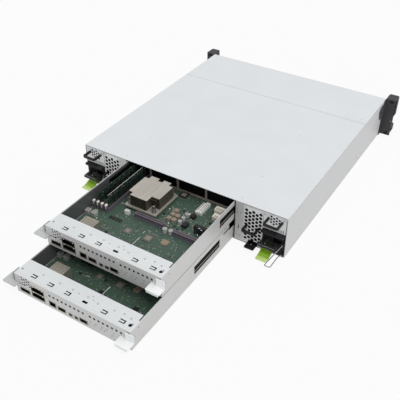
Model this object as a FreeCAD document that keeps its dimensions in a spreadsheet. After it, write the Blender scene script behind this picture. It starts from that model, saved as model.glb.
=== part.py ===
"""A 2U rack server with two pull-out node trays, twin power supplies and twin fan modules.

Millimetres. The origin is the middle of the chassis floor's underside. +Z is up, the drive bays
face -Y and the node trays slide out towards +Y. Left and right are as seen from the front, so
left is -X. Every size is a named value in the sheet called sizes, and every feature reads it
from there.
"""
import FreeCAD, Part
import Sketcher
import math
import os
import re

SIZES = {
    # chassis
    "chassis_height": 87.0,
    "chassis_depth": 496.0,
    "sheet": 1.0,
    "fit": 0.3,
    "bend_radius": 1.2,
    "cover_lip": 4.0,
    "cover_seam": 365.5,
    "seam_gap": 0.8,
    # rear openings, measured from the middle plane
    "tray_clearance": 1.0,
    "strip_width": 17.6,
    "strip_return": 66.0,
    "fan_width": 37.6,
    "divider_sheet": 0.7,
    "divider_depth": 280.0,
    "divider_lip": 8.0,
    "psu_clearance": 1.7,
    # node trays
    "tray_half": 116.5,
    "tray_height": 40.5,
    "tray_length": 355.0,
    "tray_sheet": 1.0,
    "lower_pull": 304.0,
    "upper_pull": 223.0,
    "ledge_reach": 3.4,
    "ledge_sheet": 0.8,
    # tray side walls
    "window_start": 173.0,
    "window_end": 256.0,
    "window_low": 13.0,
    "window_high": 31.0,
    "step_start": 288.0,
    "step_height": 27.0,
    "tail_start": 268.0,
    "tail_slot": 4.0,
    # tray rear face
    "hole_radius": 2.5,
    "hole_pitch": 8.47,
    "hole_row": 28.0,
    "holes_inset": 74.0,
    "holes_break": 81.7,
    "holes_margin": 9.0,
    "mesh_radius": 1.9,
    "mesh_pitch": 5.2,
    "mesh_inset": 31.0,
    "mesh_low": 19.5,
    # tray top plate
    "plate_depth": 37.0,
    "lance_inset": 11.0,
    "lance_first": 34.0,
    "lance_pitch": 35.0,
    "lance_last": 22.9,
    "lance_before": 57.0,
    "slot_inset": 94.5,
    "plate_hole_inset": 8.1,
    "plate_hole_radius": 3.2,
    "lance_length": 10.0,
    "lance_width": 6.0,
    "lance_slot": 1.6,
    "corner_notch": 12.0,
    "notch_width": 2.4,
    # ejector levers
    "pivot_inset": 3.0,
    "pivot_depth": 6.0,
    "pivot_radius": 1.5,
    "pivot_fit": 0.05,
    "rivet_radius": 2.6,
    "rivet_head": 1.0,
    "lever_level": 20.5,
    "lever_sheet": 1.5,
    "lever_inner": 16.5,
    "lever_outer": 10.0,
    "lever_reach": 23.5,
    "lever_tail": 4.0,
    "lever_lip": 3.5,
    "lever_web": 15.5,
    "lever_web_end": 5.6,
    "lever_corner": 2.5,
    # main board
    "board_level": 2.9,
    "board_thick": 1.6,
    "board_edge": 1.6,
    "board_notch": 9.0,
    "standoff_radius": 3.5,
    # heatsink
    "sink_left": 0.0,
    "sink_width": 61.0,
    "sink_rear": 146.0,
    "sink_depth": 67.0,
    "sink_top": 36.5,
    "sink_base": 3.0,
    "sink_base_margin": 3.0,
    "fin_pitch": 3.0,
    "fin_sheet": 0.7,
    "screw_well": 16.0,
    "small_well": 9.0,
    "screw_place": 9.0,
    "spring_radius": 3.2,
    "spring_top": 24.0,
    "screw_head": 2.2,
    # processor
    "socket_half": 24.0,
    "socket_height": 3.0,
    "package_half": 19.0,
    "package_height": 2.0,
    # memory
    "dimm_inset": 33.5,
    "dimm_pitch": 9.3,
    "dimm_rear": 118.0,
    "dimm_length": 142.0,
    "dimm_socket_width": 6.2,
    "dimm_socket_height": 7.5,
    "dimm_latch_height": 14.0,
    "dimm_latch_length": 5.0,
    "dimm_latch_width": 4.0,
    "dimm_board": 1.3,
    "dimm_top": 37.0,
    "dimm_seat": 3.5,
    "chip_thick": 1.0,
    # expansion slots
    "slot_width": 7.4,
    "slot_height": 11.0,
    "slot_groove": 1.8,
    # port cage
    "cage_inset": 62.0,
    "cage_width": 29.0,
    "cage_depth": 64.0,
    "cage_top": 31.0,
    # rear connectors: distance of the left edge from the +X wall, width and height of each
    "wide_inset": 29.5,
    "wide_width": 22.0,
    "wide_height": 9.0,
    "jack_inset": 85.0,
    "jack_width": 15.0,
    "jack_height": 11.5,
    "serial_inset": 105.0,
    "serial_width": 17.0,
    "serial_height": 9.0,
    "mini_inset": 118.5,
    "mini_width": 8.0,
    "mini_height": 6.5,
    "mini_gap": 3.6,
    "video_inset": 149.0,
    "video_width": 16.5,
    "video_height": 9.0,
    "port_level": 5.0,
    "port_depth": 17.0,
    "port_wall": 1.0,
    "cage_port_height": 10.0,
    # airflow frame
    "frame_place": 241.0,
    "frame_thick": 3.0,
    "frame_inset": 3.5,
    "frame_gap": 3.9,
    "frame_top": 37.0,
    "frame_bar": 3.0,
    "frame_post": 4.0,
    # midplane
    "midplane_thick": 2.4,
    "midplane_margin": 2.0,
    "plug_half": 32.0,
    "plug_height": 11.0,
    "plug_reach": 14.0,
    "plug_body": 12.0,
    "socket_depth": 9.4,
    "air_window_height": 22.0,
    # fan modules
    "fan_depth": 60.0,
    "module_height": 82.8,
    "module_floor": 1.6,
    "module_skin": 1.2,
    "vent_radius": 2.9,
    "vent_pitch": 6.9,
    "vent_rise": 7.8,
    "vent_columns": 5.0,
    "vent_rows": 9.0,
    "vent_inset": 4.6,
    "vent_low": 10.6,
    "duct_radius": 16.3,
    "duct_start": 10.0,
    "duct_length": 26.0,
    "fan_centre_low": 21.2,
    "fan_spacing": 40.4,
    "strut_width": 3.0,
    "strut_depth": 3.0,
    "stator_radius": 6.0,
    "stator_length": 5.0,
    "axle_radius": 1.5,
    "axle_fit": 0.05,
    "hub_radius": 7.0,
    "hub_length": 14.0,
    "blade_reach": 15.6,
    "blade_thick": 1.2,
    "blade_chord": 13.0,
    "blade_pitch": 38.0,
    "blade_count": 7.0,
    "fan_handle_level": 40.4,
    "fan_handle_inset": 5.2,
    "fan_handle_span": 27.0,
    "handle_reach": 20.0,
    "handle_bar": 3.8,
    "handle_corner": 5.0,
    "fan_tab_inset": 11.4,
    "fan_tab_width": 19.0,
    "fan_tab_reach": 16.5,
    "fan_tab_fold": 4.0,
    "tab_sheet": 2.0,
    "tab_corner": 2.0,
    "tab_groove": 1.2,
    "tab_level": 2.2,
    "tab_pocket": 9.0,
    "tab_swing": 3.4,
    "tab_pin_radius": 0.8,
    "tab_pin_place": 6.0,
    "tab_lug": 2.8,
    # power supplies
    "psu_width": 42.0,
    "psu_depth": 300.0,
    "psu_height": 82.8,
    "psu_split": 48.4,
    "psu_skin": 1.0,
    "psu_face": 8.0,
    "psu_vent_left": 12.6,
    "psu_vent_low": 63.5,
    "psu_vent_radius": 1.9,
    "psu_vent_pitch": 5.2,
    "psu_handle_level": 73.0,
    "psu_handle_left": 5.5,
    "psu_handle_span": 29.5,
    "psu_handle_reach": 22.0,
    "psu_slab_reach": 9.0,
    "psu_slab_thick": 4.0,
    "psu_bar_level": 18.5,
    "psu_bar_reach": 17.0,
    "psu_bar_thick": 5.0,
    "psu_bar_width": 5.0,
    "psu_bar_left": 10.0,
    "psu_tab_left": 17.5,
    "psu_tab_width": 21.0,
    "psu_tab_root": 8.0,
    "psu_tab_bend": 4.0,
    "psu_tab_flat": 20.0,
    "psu_tab_reach": 32.0,
    "psu_tab_fold": 6.0,
    "inlet_left": 4.0,
    "inlet_width": 17.0,
    "inlet_low": 25.0,
    "inlet_high": 44.5,
    "inlet_depth": 6.5,
    "grid_left": 23.0,
    "grid_width": 16.0,
    "grid_rib": 1.2,
    "bail_radius": 0.9,
    "bail_bend": 2.2,
    "bail_axis": 2.4,
    "bail_stand": 1.9,
    "bail_top": 31.0,
    "bail_bottom": 7.0,
    "bail_length": 37.0,
    "bail_inner": 17.8,
    "bail_splay": 2.6,
    "bail_outer": 6.8,
    "bail_level": 0.7,
    "bail_lug": 4.2,
    "psu_plug_width": 30.0,
    "psu_plug_height": 10.0,
    # rack ears
    "ear_reach": 22.3,
    "ear_plate": 3.0,
    "ear_depth": 27.0,
    "ear_low": 6.0,
    "ear_wing": 10.0,
    "ear_wing_sheet": 1.2,
    "rack_slot_place": 13.55,
    "rack_pitch_tall": 76.2,
    "rack_slot_radius": 3.4,
    "rack_slot_length": 10.4,
    "finger_low": 20.0,
    "finger_high": 46.0,
    "button_radius": 3.0,
    "button_level": 60.0,
    "button_proud": 1.2,
    "button_length": 5.0,
    # drives
    "drive_count": 24.0,
    "drive_margin": 3.2,
    "drive_gap": 0.6,
    "drive_face": 13.0,
    "drive_length": 113.3,
    "drive_shoulder": 1.25,
    "drive_socket": 8.0,
    "cage_sheet": 0.8,
}

DERIVED = {
    "bay_half": "tray_half + tray_clearance",
    "strip_edge": "bay_half + strip_width",
    "fan_start": "strip_edge + fit",
    "fan_end": "fan_start + fan_width",
    "divider_start": "fan_end + fit",
    "psu_start": "divider_start + divider_sheet + fit",
    "inner_half": "psu_start + psu_width + psu_clearance",
    "half": "inner_half + sheet",
    "rear": "chassis_depth / 2",
    "front": "-chassis_depth / 2",
    "roof": "chassis_height - sheet",
    "wall_top": "roof - fit",
    "lower_floor": "sheet + fit",
    "upper_floor": "lower_floor + tray_height + fit + ledge_sheet + fit",
    "board_top": "board_level + board_thick",
    "lever_top": "lever_level + lever_sheet",
    "seat_top": "lever_level - fit",
    "sink_floor": "board_top + socket_height + package_height",
    "fin_floor": "sink_floor + sink_base",
    "pivot_place": "tray_half - pivot_inset",
    "holes_start": "tray_half - holes_inset",
    "holes_restart": "holes_start - holes_break",
    "mesh_left": "tray_half - mesh_inset",
    "cage_left": "tray_half - cage_inset",
    "wide_left": "tray_half - wide_inset",
    "jack_left": "tray_half - jack_inset",
    "serial_left": "tray_half - serial_inset",
    "mini_left": "tray_half - mini_inset",
    "video_left": "tray_half - video_inset",
    "dimm_first": "tray_half - dimm_inset",
    "frame_left": "-tray_half + frame_inset",
    "frame_right": "dimm_first - dimm_socket_width / 2 - frame_gap",
    "drive_pitch": "2 * (inner_half - drive_margin) / drive_count",
    "drive_width": "drive_pitch - drive_gap",
    "drive_body_width": "drive_width - 2 * drive_shoulder",
    "drive_start": "-drive_count * drive_pitch / 2",
    "cage_floor": "sheet + fit + cage_sheet",
    "cage_roof": "wall_top - fit - cage_sheet",
    "drive_low": "cage_floor + fit",
    "drive_height": "cage_roof - cage_floor - 2 * fit",
    "midplane_front": "front + drive_length + fit + drive_socket",
    "midplane_face": "midplane_front + midplane_thick",
    "tab_pin_level": "tab_level + tab_sheet / 2",
    "psu_pin_level": "psu_tab_root + tab_sheet / 2",
}

WORD = re.compile(r"[a-z_]*[a-z]")
doc = FreeCAD.newDocument("rack_server")
sheet = doc.addObject("Spreadsheet::Sheet", "sizes")
nodes = {}


def fill_sheet():
    """One row for each size: its name, and its number under that name as an alias."""
    for row, (alias, value) in enumerate(SIZES.items(), start=1):
        sheet.set(f"A{row}", alias)
        sheet.set(f"B{row}", str(value))
        sheet.setAlias(f"B{row}", alias)
    doc.recompute()


def spell(text):
    """An expression over the named sizes, written out for the sheet."""

    def swap(match):
        word = match.group(0)
        if word in DERIVED:
            return "(" + spell(DERIVED[word]) + ")"
        return "sizes." + word if word in SIZES else word

    return WORD.sub(swap, str(text))


def number(text):
    """The value of an expression over the named sizes."""
    return float(sheet.evalExpression(spell(text)))


def bind(feature, **values):
    for name, text in values.items():
        feature.setExpression(name, spell(text))


def place(feature, x="0", y="0", z="0"):
    for axis, text in (("x", x), ("y", y), ("z", z)):
        feature.setExpression("Placement.Base." + axis, spell(text))
    return feature


def node(name, feature):
    feature.Label = name
    nodes[name] = feature
    return feature


def box(x, y, z, dx, dy, dz):
    """A block from its low corner and its three sides."""
    feature = doc.addObject("Part::Box", "block")
    bind(feature, Length=dx, Width=dy, Height=dz)
    return place(feature, x, y, z)


TURNS = {
    "x": FreeCAD.Rotation(FreeCAD.Vector(0, 1, 0), 90),
    "y": FreeCAD.Rotation(FreeCAD.Vector(1, 0, 0), -90),
    "z": FreeCAD.Rotation(),
}


def rod(axis, x, y, z, radius, length):
    """A cylinder that runs from its foot towards plus axis."""
    feature = doc.addObject("Part::Cylinder", "rod")
    feature.Placement.Rotation = TURNS[axis]
    bind(feature, Radius=radius, Height=length)
    return place(feature, x, y, z)


def hexagon(axis, x, y, z, radius, length):
    """A six-sided bar that runs from its foot towards plus axis."""
    feature = doc.addObject("Part::Prism", "hexagon")
    feature.Polygon = 6
    feature.Placement.Rotation = TURNS[axis]
    bind(feature, Circumradius=radius, Height=length)
    return place(feature, x, y, z)


def join(*features):
    if len(features) == 1:
        return features[0]
    fused = doc.addObject("Part::MultiFuse", "joined")
    fused.Shapes = list(features)
    return fused


def group(*features):
    """Separate solids that share one node."""
    bundle = doc.addObject("Part::Compound", "group")
    bundle.Links = list(features)
    return bundle


def cut(base, *tools):
    result = doc.addObject("Part::Cut", "cut")
    result.Base = base
    result.Tool = join(*tools)
    return result


def mirror(feature):
    """The same piece on the other side of the middle plane."""
    other = doc.addObject("Part::Mirroring", "mirrored")
    other.Source = feature
    other.Normal = (1, 0, 0)
    return other


def body(name):
    return doc.addObject("PartDesign::Body", name)


def sketch(owner, role, points, offset="0"):
    """A closed outline on one of the body's own planes, each corner bound to two sizes."""
    plane = next(item for item in owner.Origin.OriginFeatures if item.Role == role)
    drawing = owner.newObject("Sketcher::SketchObject", "outline")
    drawing.AttachmentSupport = (plane, [""])
    drawing.MapMode = "FlatFace"
    drawing.setExpression("AttachmentOffset.Base.z", spell(offset))
    start = drawing.GeometryCount
    corners = [FreeCAD.Vector(number(x), number(y), 0) for x, y in points]
    count = len(corners)
    for i, corner in enumerate(corners):
        drawing.addGeometry(Part.LineSegment(corner, corners[(i + 1) % count]), False)
    for i, (x, y) in enumerate(points):
        drawing.addConstraint(Sketcher.Constraint("Coincident", start + i, 2, start + (i + 1) % count, 1))
        for kind, text in (("DistanceX", x), ("DistanceY", y)):
            index = drawing.addConstraint(Sketcher.Constraint(kind, -1, 1, start + i, 1, number(text)))
            drawing.setExpression(f"Constraints[{index}]", spell(text))
    return drawing


def rectangle(x, y, dx, dy):
    return [(x, y), (f"{x} + {dx}", y), (f"{x} + {dx}", f"{y} + {dy}"), (x, f"{y} + {dy}")]


def pad(owner, drawing, length, back=False):
    feature = owner.newObject("PartDesign::Pad", "pad")
    feature.Profile = drawing
    feature.Reversed = back
    bind(feature, Length=length)
    return feature


def pocket(owner, drawing, length, back=False):
    """A cut from the drawing's plane; it has to take something away."""
    before = owner.Tip
    feature = owner.newObject("PartDesign::Pocket", "pocket")
    feature.Profile = drawing
    feature.Reversed = back
    bind(feature, Length=length)
    doc.recompute()
    if feature.Shape.Volume > before.Shape.Volume - 0.01:
        raise RuntimeError(f"{owner.Name}: a pocket cuts nothing")
    return feature


def rounded(owner, axis, radius, wanted):
    """Fillet the straight edges along an axis whose middle passes the test."""
    doc.recompute()
    base = owner.Tip
    names = []
    for index, edge in enumerate(base.Shape.Edges, start=1):
        if not isinstance(edge.Curve, Part.Line):
            continue
        along = abs(edge.Curve.Direction.dot(axis)) > 0.999
        if along and wanted(edge.CenterOfMass):
            names.append(f"Edge{index}")
    if not names:
        raise RuntimeError(f"{owner.Name}: no edge to round")
    fillet = owner.newObject("PartDesign::Fillet", "rounding")
    fillet.Base = (base, names)
    bind(fillet, Radius=radius)
    owner.Tip = fillet
    return fillet


Y_AXIS = FreeCAD.Vector(0, 1, 0)
Z_AXIS = FreeCAD.Vector(0, 0, 1)


def circle(owner, role, radius, offset):
    """A circle about the origin of one of the body's own planes."""
    plane = next(item for item in owner.Origin.OriginFeatures if item.Role == role)
    drawing = owner.newObject("Sketcher::SketchObject", "circle")
    drawing.AttachmentSupport = (plane, [""])
    drawing.MapMode = "FlatFace"
    drawing.setExpression("AttachmentOffset.Base.z", spell(offset))
    drawing.addGeometry(Part.Circle(FreeCAD.Vector(), Z_AXIS, number(radius)), False)
    drawing.addConstraint(Sketcher.Constraint("Coincident", 0, 3, -1, 1))
    index = drawing.addConstraint(Sketcher.Constraint("Radius", 0, number(radius)))
    drawing.setExpression(f"Constraints[{index}]", spell(radius))
    return drawing


def wire_rod(name, points, radius, bend):
    """A wire of eight-sided section through the points, each corner bent to one radius."""
    spots = [FreeCAD.Vector(*(number(value) for value in point)) for point in points]
    bend = number(bend)
    radius = number(radius)
    heading = (spots[1] - spots[0]).normalize()
    across = heading.cross(Y_AXIS).normalize() * radius
    rim = [FreeCAD.Rotation(heading, 45 * step + 22.5).multVec(across) for step in range(8)]
    pieces = []
    start = spots[0]
    for before, corner, after in zip(spots, spots[1:], spots[2:]):
        into = (corner - before).normalize()
        out = (after - corner).normalize()
        turn = into.getAngle(out)
        first = corner - into * bend * math.tan(turn / 2)
        side = (out - into * out.dot(into)).normalize()
        section = Part.Face(Part.makePolygon([first + point for point in rim + rim[:1]]))
        pieces.append(section.extrude(start - first))
        pieces.append(section.revolve(first + side * bend, into.cross(out), math.degrees(turn)))
        swing = FreeCAD.Rotation(into.cross(out), math.degrees(turn))
        rim = [swing.multVec(point) for point in rim]
        start = corner + out * bend * math.tan(turn / 2)
    section = Part.Face(Part.makePolygon([start + point for point in rim + rim[:1]]))
    pieces.append(section.extrude(spots[-1] - start))
    feature = doc.addObject("Part::Feature", name)
    feature.Shape = pieces[0].multiFuse(pieces[1:]).removeSplitter()
    return feature


# ---------------------------------------------------------------- chassis


def chassis_tray():
    """The floor and both side walls, bent from one sheet."""
    tray = body("chassis_tray")
    section = [
        ("-half", "0"), ("half", "0"), ("half", "wall_top"), ("inner_half", "wall_top"),
        ("inner_half", "sheet"), ("-inner_half", "sheet"), ("-inner_half", "wall_top"), ("-half", "wall_top"),
    ]
    pad(tray, sketch(tray, "XZ_Plane", section, "-rear"), "chassis_depth")
    rounded(tray, Y_AXIS, "bend_radius", lambda p: p.z < 0.1)
    node("chassis_tray", tray)


def cover(name, start, end):
    """A flat cover with a locating lip inside each wall."""
    lid = body(name)
    lip = "inner_half - fit"
    inner = "inner_half - fit - sheet"
    low = "roof - cover_lip"
    section = [
        ("-half", "roof"), (f"-({lip})", "roof"), (f"-({lip})", low), (f"-({inner})", low),
        (f"-({inner})", "roof"), (inner, "roof"), (inner, low), (lip, low), (lip, "roof"),
        ("half", "roof"), ("half", "chassis_height"), ("-half", "chassis_height"),
    ]
    pad(lid, sketch(lid, "XZ_Plane", section, f"-({end})"), f"{end} - ({start})")
    rounded(lid, Y_AXIS, "0.6 * sheet", lambda p: p.z > number("chassis_height") - 0.1)
    node(name, lid)


def bay_wall():
    """One side of the node bay: wall, rear strip and the fan slot's wall, folded from one sheet."""
    wall = body("bay_wall")
    outline = [
        ("bay_half", "rear"), ("bay_half", "midplane_face + fit"),
        ("bay_half + sheet", "midplane_face + fit"), ("bay_half + sheet", "rear - sheet"),
        ("strip_edge - sheet", "rear - sheet"), ("strip_edge - sheet", "rear - strip_return"),
        ("strip_edge", "rear - strip_return"), ("strip_edge", "rear"),
    ]
    pad(wall, sketch(wall, "XY_Plane", outline, "sheet"), "wall_top - sheet")
    ledge = rectangle("bay_half - ledge_reach", "midplane_face + fit", "ledge_reach", "rear - midplane_face - 8")
    pad(wall, sketch(wall, "XY_Plane", ledge, "lower_floor + tray_height + fit"), "ledge_sheet")
    return wall


def bay_walls():
    right = node("bay_wall_right", bay_wall())
    node("bay_wall_left", mirror(right))


def power_bay_walls():
    """The thin plate between each fan module and its power supply."""
    plate = body("divider")
    outline = [
        ("divider_start", "rear"), ("divider_start", "rear - divider_depth"),
        ("divider_start - divider_lip", "rear - divider_depth"),
        ("divider_start - divider_lip", "rear - divider_depth - divider_sheet"),
        ("divider_start + divider_sheet", "rear - divider_depth - divider_sheet"),
        ("divider_start + divider_sheet", "rear"),
    ]
    pad(plate, sketch(plate, "XY_Plane", outline, "sheet"), "wall_top - sheet")
    node("power_bay_walls", group(plate, mirror(plate)))


def midplane():
    """The upright circuit board that all modules plug into, with air windows between its sockets."""
    plate = body("midplane")
    outline = rectangle("-inner_half + midplane_margin", "sheet", "2 * (inner_half - midplane_margin)", "wall_top - sheet")
    pad(plate, sketch(plate, "XZ_Plane", outline, "-midplane_face"), "midplane_thick")
    low = "lower_floor + tray_height / 2 + 1"
    for side in (-1, 1):
        for start in ("40", "84"):
            left = start if side > 0 else f"-{start} - 32"
            window = rectangle(left, low, "32", "air_window_height")
            pocket(plate, sketch(plate, "XZ_Plane", window, "-midplane_face"), "midplane_thick", back=True)
    node("midplane", plate)


def midplane_sockets():
    """Sockets for the trays and power supplies behind, and one for each drive in front."""
    sockets = []
    for floor in ("lower_floor", "upper_floor"):
        level = f"{floor} + board_top"
        shell = box("-plug_half - 3", "midplane_face", level, "2 * plug_half + 6", "socket_depth", "plug_height + 4")
        mouth = box("-plug_half - fit", "midplane_face + 2", f"{level} + 2 - fit", "2 * (plug_half + fit)", "socket_depth", "plug_height + 2 * fit")
        sockets.append(cut(shell, mouth))
    for left in ("psu_start + 6", "-psu_start - psu_width + 6"):
        reach = "rear - psu_depth - fit - midplane_face"
        sockets.append(box(left, "midplane_face", "module_floor + 12", "psu_plug_width", reach, "psu_plug_height"))
    for index in range(int(number("drive_count"))):
        middle = f"drive_start + ({index} + 0.5) * drive_pitch"
        sockets.append(box(f"{middle} - 2.5", "midplane_front - drive_socket", "drive_low + 16", "5",
                           "drive_socket", "42"))
    node("midplane_sockets", group(*sockets))


def drive_cage():
    """The sheet-metal cage of the drive bays: four bays of equal width."""
    width = "2 * (inner_half - 2 * fit - sheet)"
    depth = "midplane_front - front - 12"
    shell = box(f"-({width}) / 2", "front + fit", "sheet + fit", width, depth, "wall_top - sheet - 2 * fit")
    bays = [box(f"-({width}) / 2 + cage_sheet", "front - 1", "cage_floor", f"{width} - 2 * cage_sheet",
                "drive_face + 2", "cage_roof - cage_floor")]
    for index in range(4):
        pitch = f"(({width}) - cage_sheet) / 4"
        left = f"-({width}) / 2 + cage_sheet + {index} * {pitch}"
        bays.append(box(left, "front - 1", "cage_floor", f"{pitch} - cage_sheet", f"{depth} + 4",
                        "cage_roof - cage_floor"))
    node("drive_cage", cut(shell, *bays))


def rack_slot(level):
    """The cutter for one rack slot, through the whole ear."""
    middle = f"chassis_height / 2 + {level} * rack_pitch_tall / 2"
    left = "half + rack_slot_place - rack_slot_length / 2"
    start = "front - ear_depth - 1"
    flat = box(f"{left} + rack_slot_radius", start, f"{middle} - rack_slot_radius",
               "rack_slot_length - 2 * rack_slot_radius", "ear_depth + 2", "2 * rack_slot_radius")
    ends = [rod("y", f"{left} + {offset}", start, middle, "rack_slot_radius", "ear_depth + 2")
            for offset in ("rack_slot_radius", "rack_slot_length - rack_slot_radius")]
    return join(flat, *ends)


def rack_ears():
    """Moulded ears: a rack flange with two slots, a grip block before it and a wing on the side wall."""
    ear = body("rack_ear")
    flange = [
        ("half + fit", "front - fit"), ("half + fit", "front + ear_wing"),
        ("half + fit + ear_wing_sheet", "front + ear_wing"), ("half + fit + ear_wing_sheet", "front - fit"),
        ("half + ear_reach", "front - fit"), ("half + ear_reach", "front - fit - ear_plate"),
        ("half + fit", "front - fit - ear_plate"),
    ]
    pad(ear, sketch(ear, "XY_Plane", flange), "chassis_height")
    grip = [
        ("half + fit", "front - fit - ear_plate"), ("half + ear_reach", "front - fit - ear_plate"),
        ("half + ear_reach", "front - ear_depth + 3"), ("half + ear_reach - 3", "front - ear_depth"),
        ("half + fit + 2", "front - ear_depth"), ("half + fit", "front - ear_depth + 4"),
    ]
    pad(ear, sketch(ear, "XY_Plane", grip, "ear_low"), "chassis_height - ear_low")
    finger = box("half + ear_reach - 8", "front - ear_depth - 1", "finger_low", "9", "ear_depth - ear_plate - 3",
                 "finger_high - finger_low")
    plain = cut(ear, rack_slot("-1"), rack_slot("1"), finger)
    node("rack_ear_left", mirror(plain))
    middle = "half + ear_reach / 2"
    well = rod("y", middle, "front - ear_depth - 1", "button_level", "button_radius + fit", "button_length + 2")
    node("rack_ear_right", cut(plain, well))
    node("power_button", rod("y", middle, "front - ear_depth - button_proud", "button_level", "button_radius",
                             "button_length"))


# ---------------------------------------------------------------- drives


def drive_carrier(index):
    """A 2.5 inch drive on its carrier, with a latch recess and air slots in the face."""
    left = f"drive_start + {index} * drive_pitch + (drive_pitch - drive_width) / 2"
    face = box(left, "front", "drive_low", "drive_width", "drive_face", "drive_height")
    core = box(f"{left} + (drive_width - drive_body_width) / 2", "front + drive_face - 1", "drive_low",
               "drive_body_width", "drive_length - drive_face + 1", "drive_height")
    recess = box(f"{left} + 3.5", "front - 1", "drive_low + drive_height - 22", "drive_width - 7", "9", "16")
    slots = [box(f"{left} + 3.5", "front - 1", f"drive_low + 6 + {step} * 12", "drive_width - 7", "6", "7")
             for step in range(3)]
    return cut(join(face, core), recess, *slots)


def drives():
    count = int(number("drive_count"))
    carriers = [drive_carrier(index) for index in range(count)]
    node("drive_carriers", group(*carriers[:-1]))
    node("drive_carrier_last", carriers[-1])


# ---------------------------------------------------------------- power supplies


def tab_pocket(left, width, level):
    """The room a latch tab pivots in, cut up into a module's face from below."""
    room = box(f"{left} - fit", "-tab_pocket", "-1", f"{width} + 2 * fit", "tab_pocket + 20",
               f"{level} + tab_sheet / 2 + tab_swing + 2")
    holes = rod("x", f"{left} - 2.5", "-tab_pin_place", level, "tab_pin_radius + pivot_fit", f"{width} + 5")
    return join(room, holes)


def flat_tab(reach):
    """Side profile of a straight latch tab."""
    tail = "tab_pin_place + tab_sheet / 2"
    return rectangle(f"-({tail})", "tab_level", f"{reach} + {tail}", "tab_sheet")


def bent_tab():
    """Side profile of a latch tab that leaves the face high, slopes down and ends flat."""
    tail = "-(tab_pin_place + tab_sheet / 2)"
    shift = "0.2 * tab_sheet"
    return [
        (tail, "psu_tab_root"), ("psu_tab_bend", "psu_tab_root"), ("psu_tab_flat", "tab_level"),
        ("psu_tab_reach", "tab_level"), ("psu_tab_reach", "tab_level + tab_sheet"),
        (f"psu_tab_flat + {shift}", "tab_level + tab_sheet"), (f"psu_tab_bend + {shift}", "psu_tab_root + tab_sheet"),
        (tail, "psu_tab_root + tab_sheet"),
    ]


def latch_tab(profile, left, width, reach, fold, level):
    """A tab on a pin, with rounded corners and a grip groove at its free end."""
    tab = body("latch_tab")
    pad(tab, sketch(tab, "YZ_Plane", profile, left), width)
    far = number(reach) - 0.1
    rounded(tab, Z_AXIS, "tab_corner", lambda p: p.y > far)
    groove = rectangle(f"{left} - 1", f"{reach} - {fold}", f"{width} + 2", "tab_groove")
    pocket(tab, sketch(tab, "XY_Plane", groove, "tab_level + tab_sheet"), "tab_sheet / 4")
    pin = rod("x", f"{left} - 2.2", "-tab_pin_place", level, "tab_pin_radius", f"{width} + 4.4")
    return join(tab, pin)


def u_handle(left, span, reach, bar, level):
    """A U-shaped pull with rounded corners, standing out from a rear face."""
    handle = body("handle")
    inner = f"{left} + {bar}"
    outline = [
        (left, "0"), (left, reach), (f"{left} + {span}", reach), (f"{left} + {span}", "0"),
        (f"{left} + {span} - {bar}", "0"), (f"{left} + {span} - {bar}", f"{reach} - {bar}"),
        (inner, f"{reach} - {bar}"), (inner, "0"),
    ]
    pad(handle, sketch(handle, "XY_Plane", outline, f"{level} - {bar} / 2"), bar)
    far = number(reach) - 0.1
    near = number(f"{reach} - {bar}")
    rounded(handle, Z_AXIS, "handle_corner", lambda p: p.y > far)
    rounded(handle, Z_AXIS, "0.3 * handle_corner", lambda p: abs(p.y - near) < 0.05)
    return handle


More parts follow.
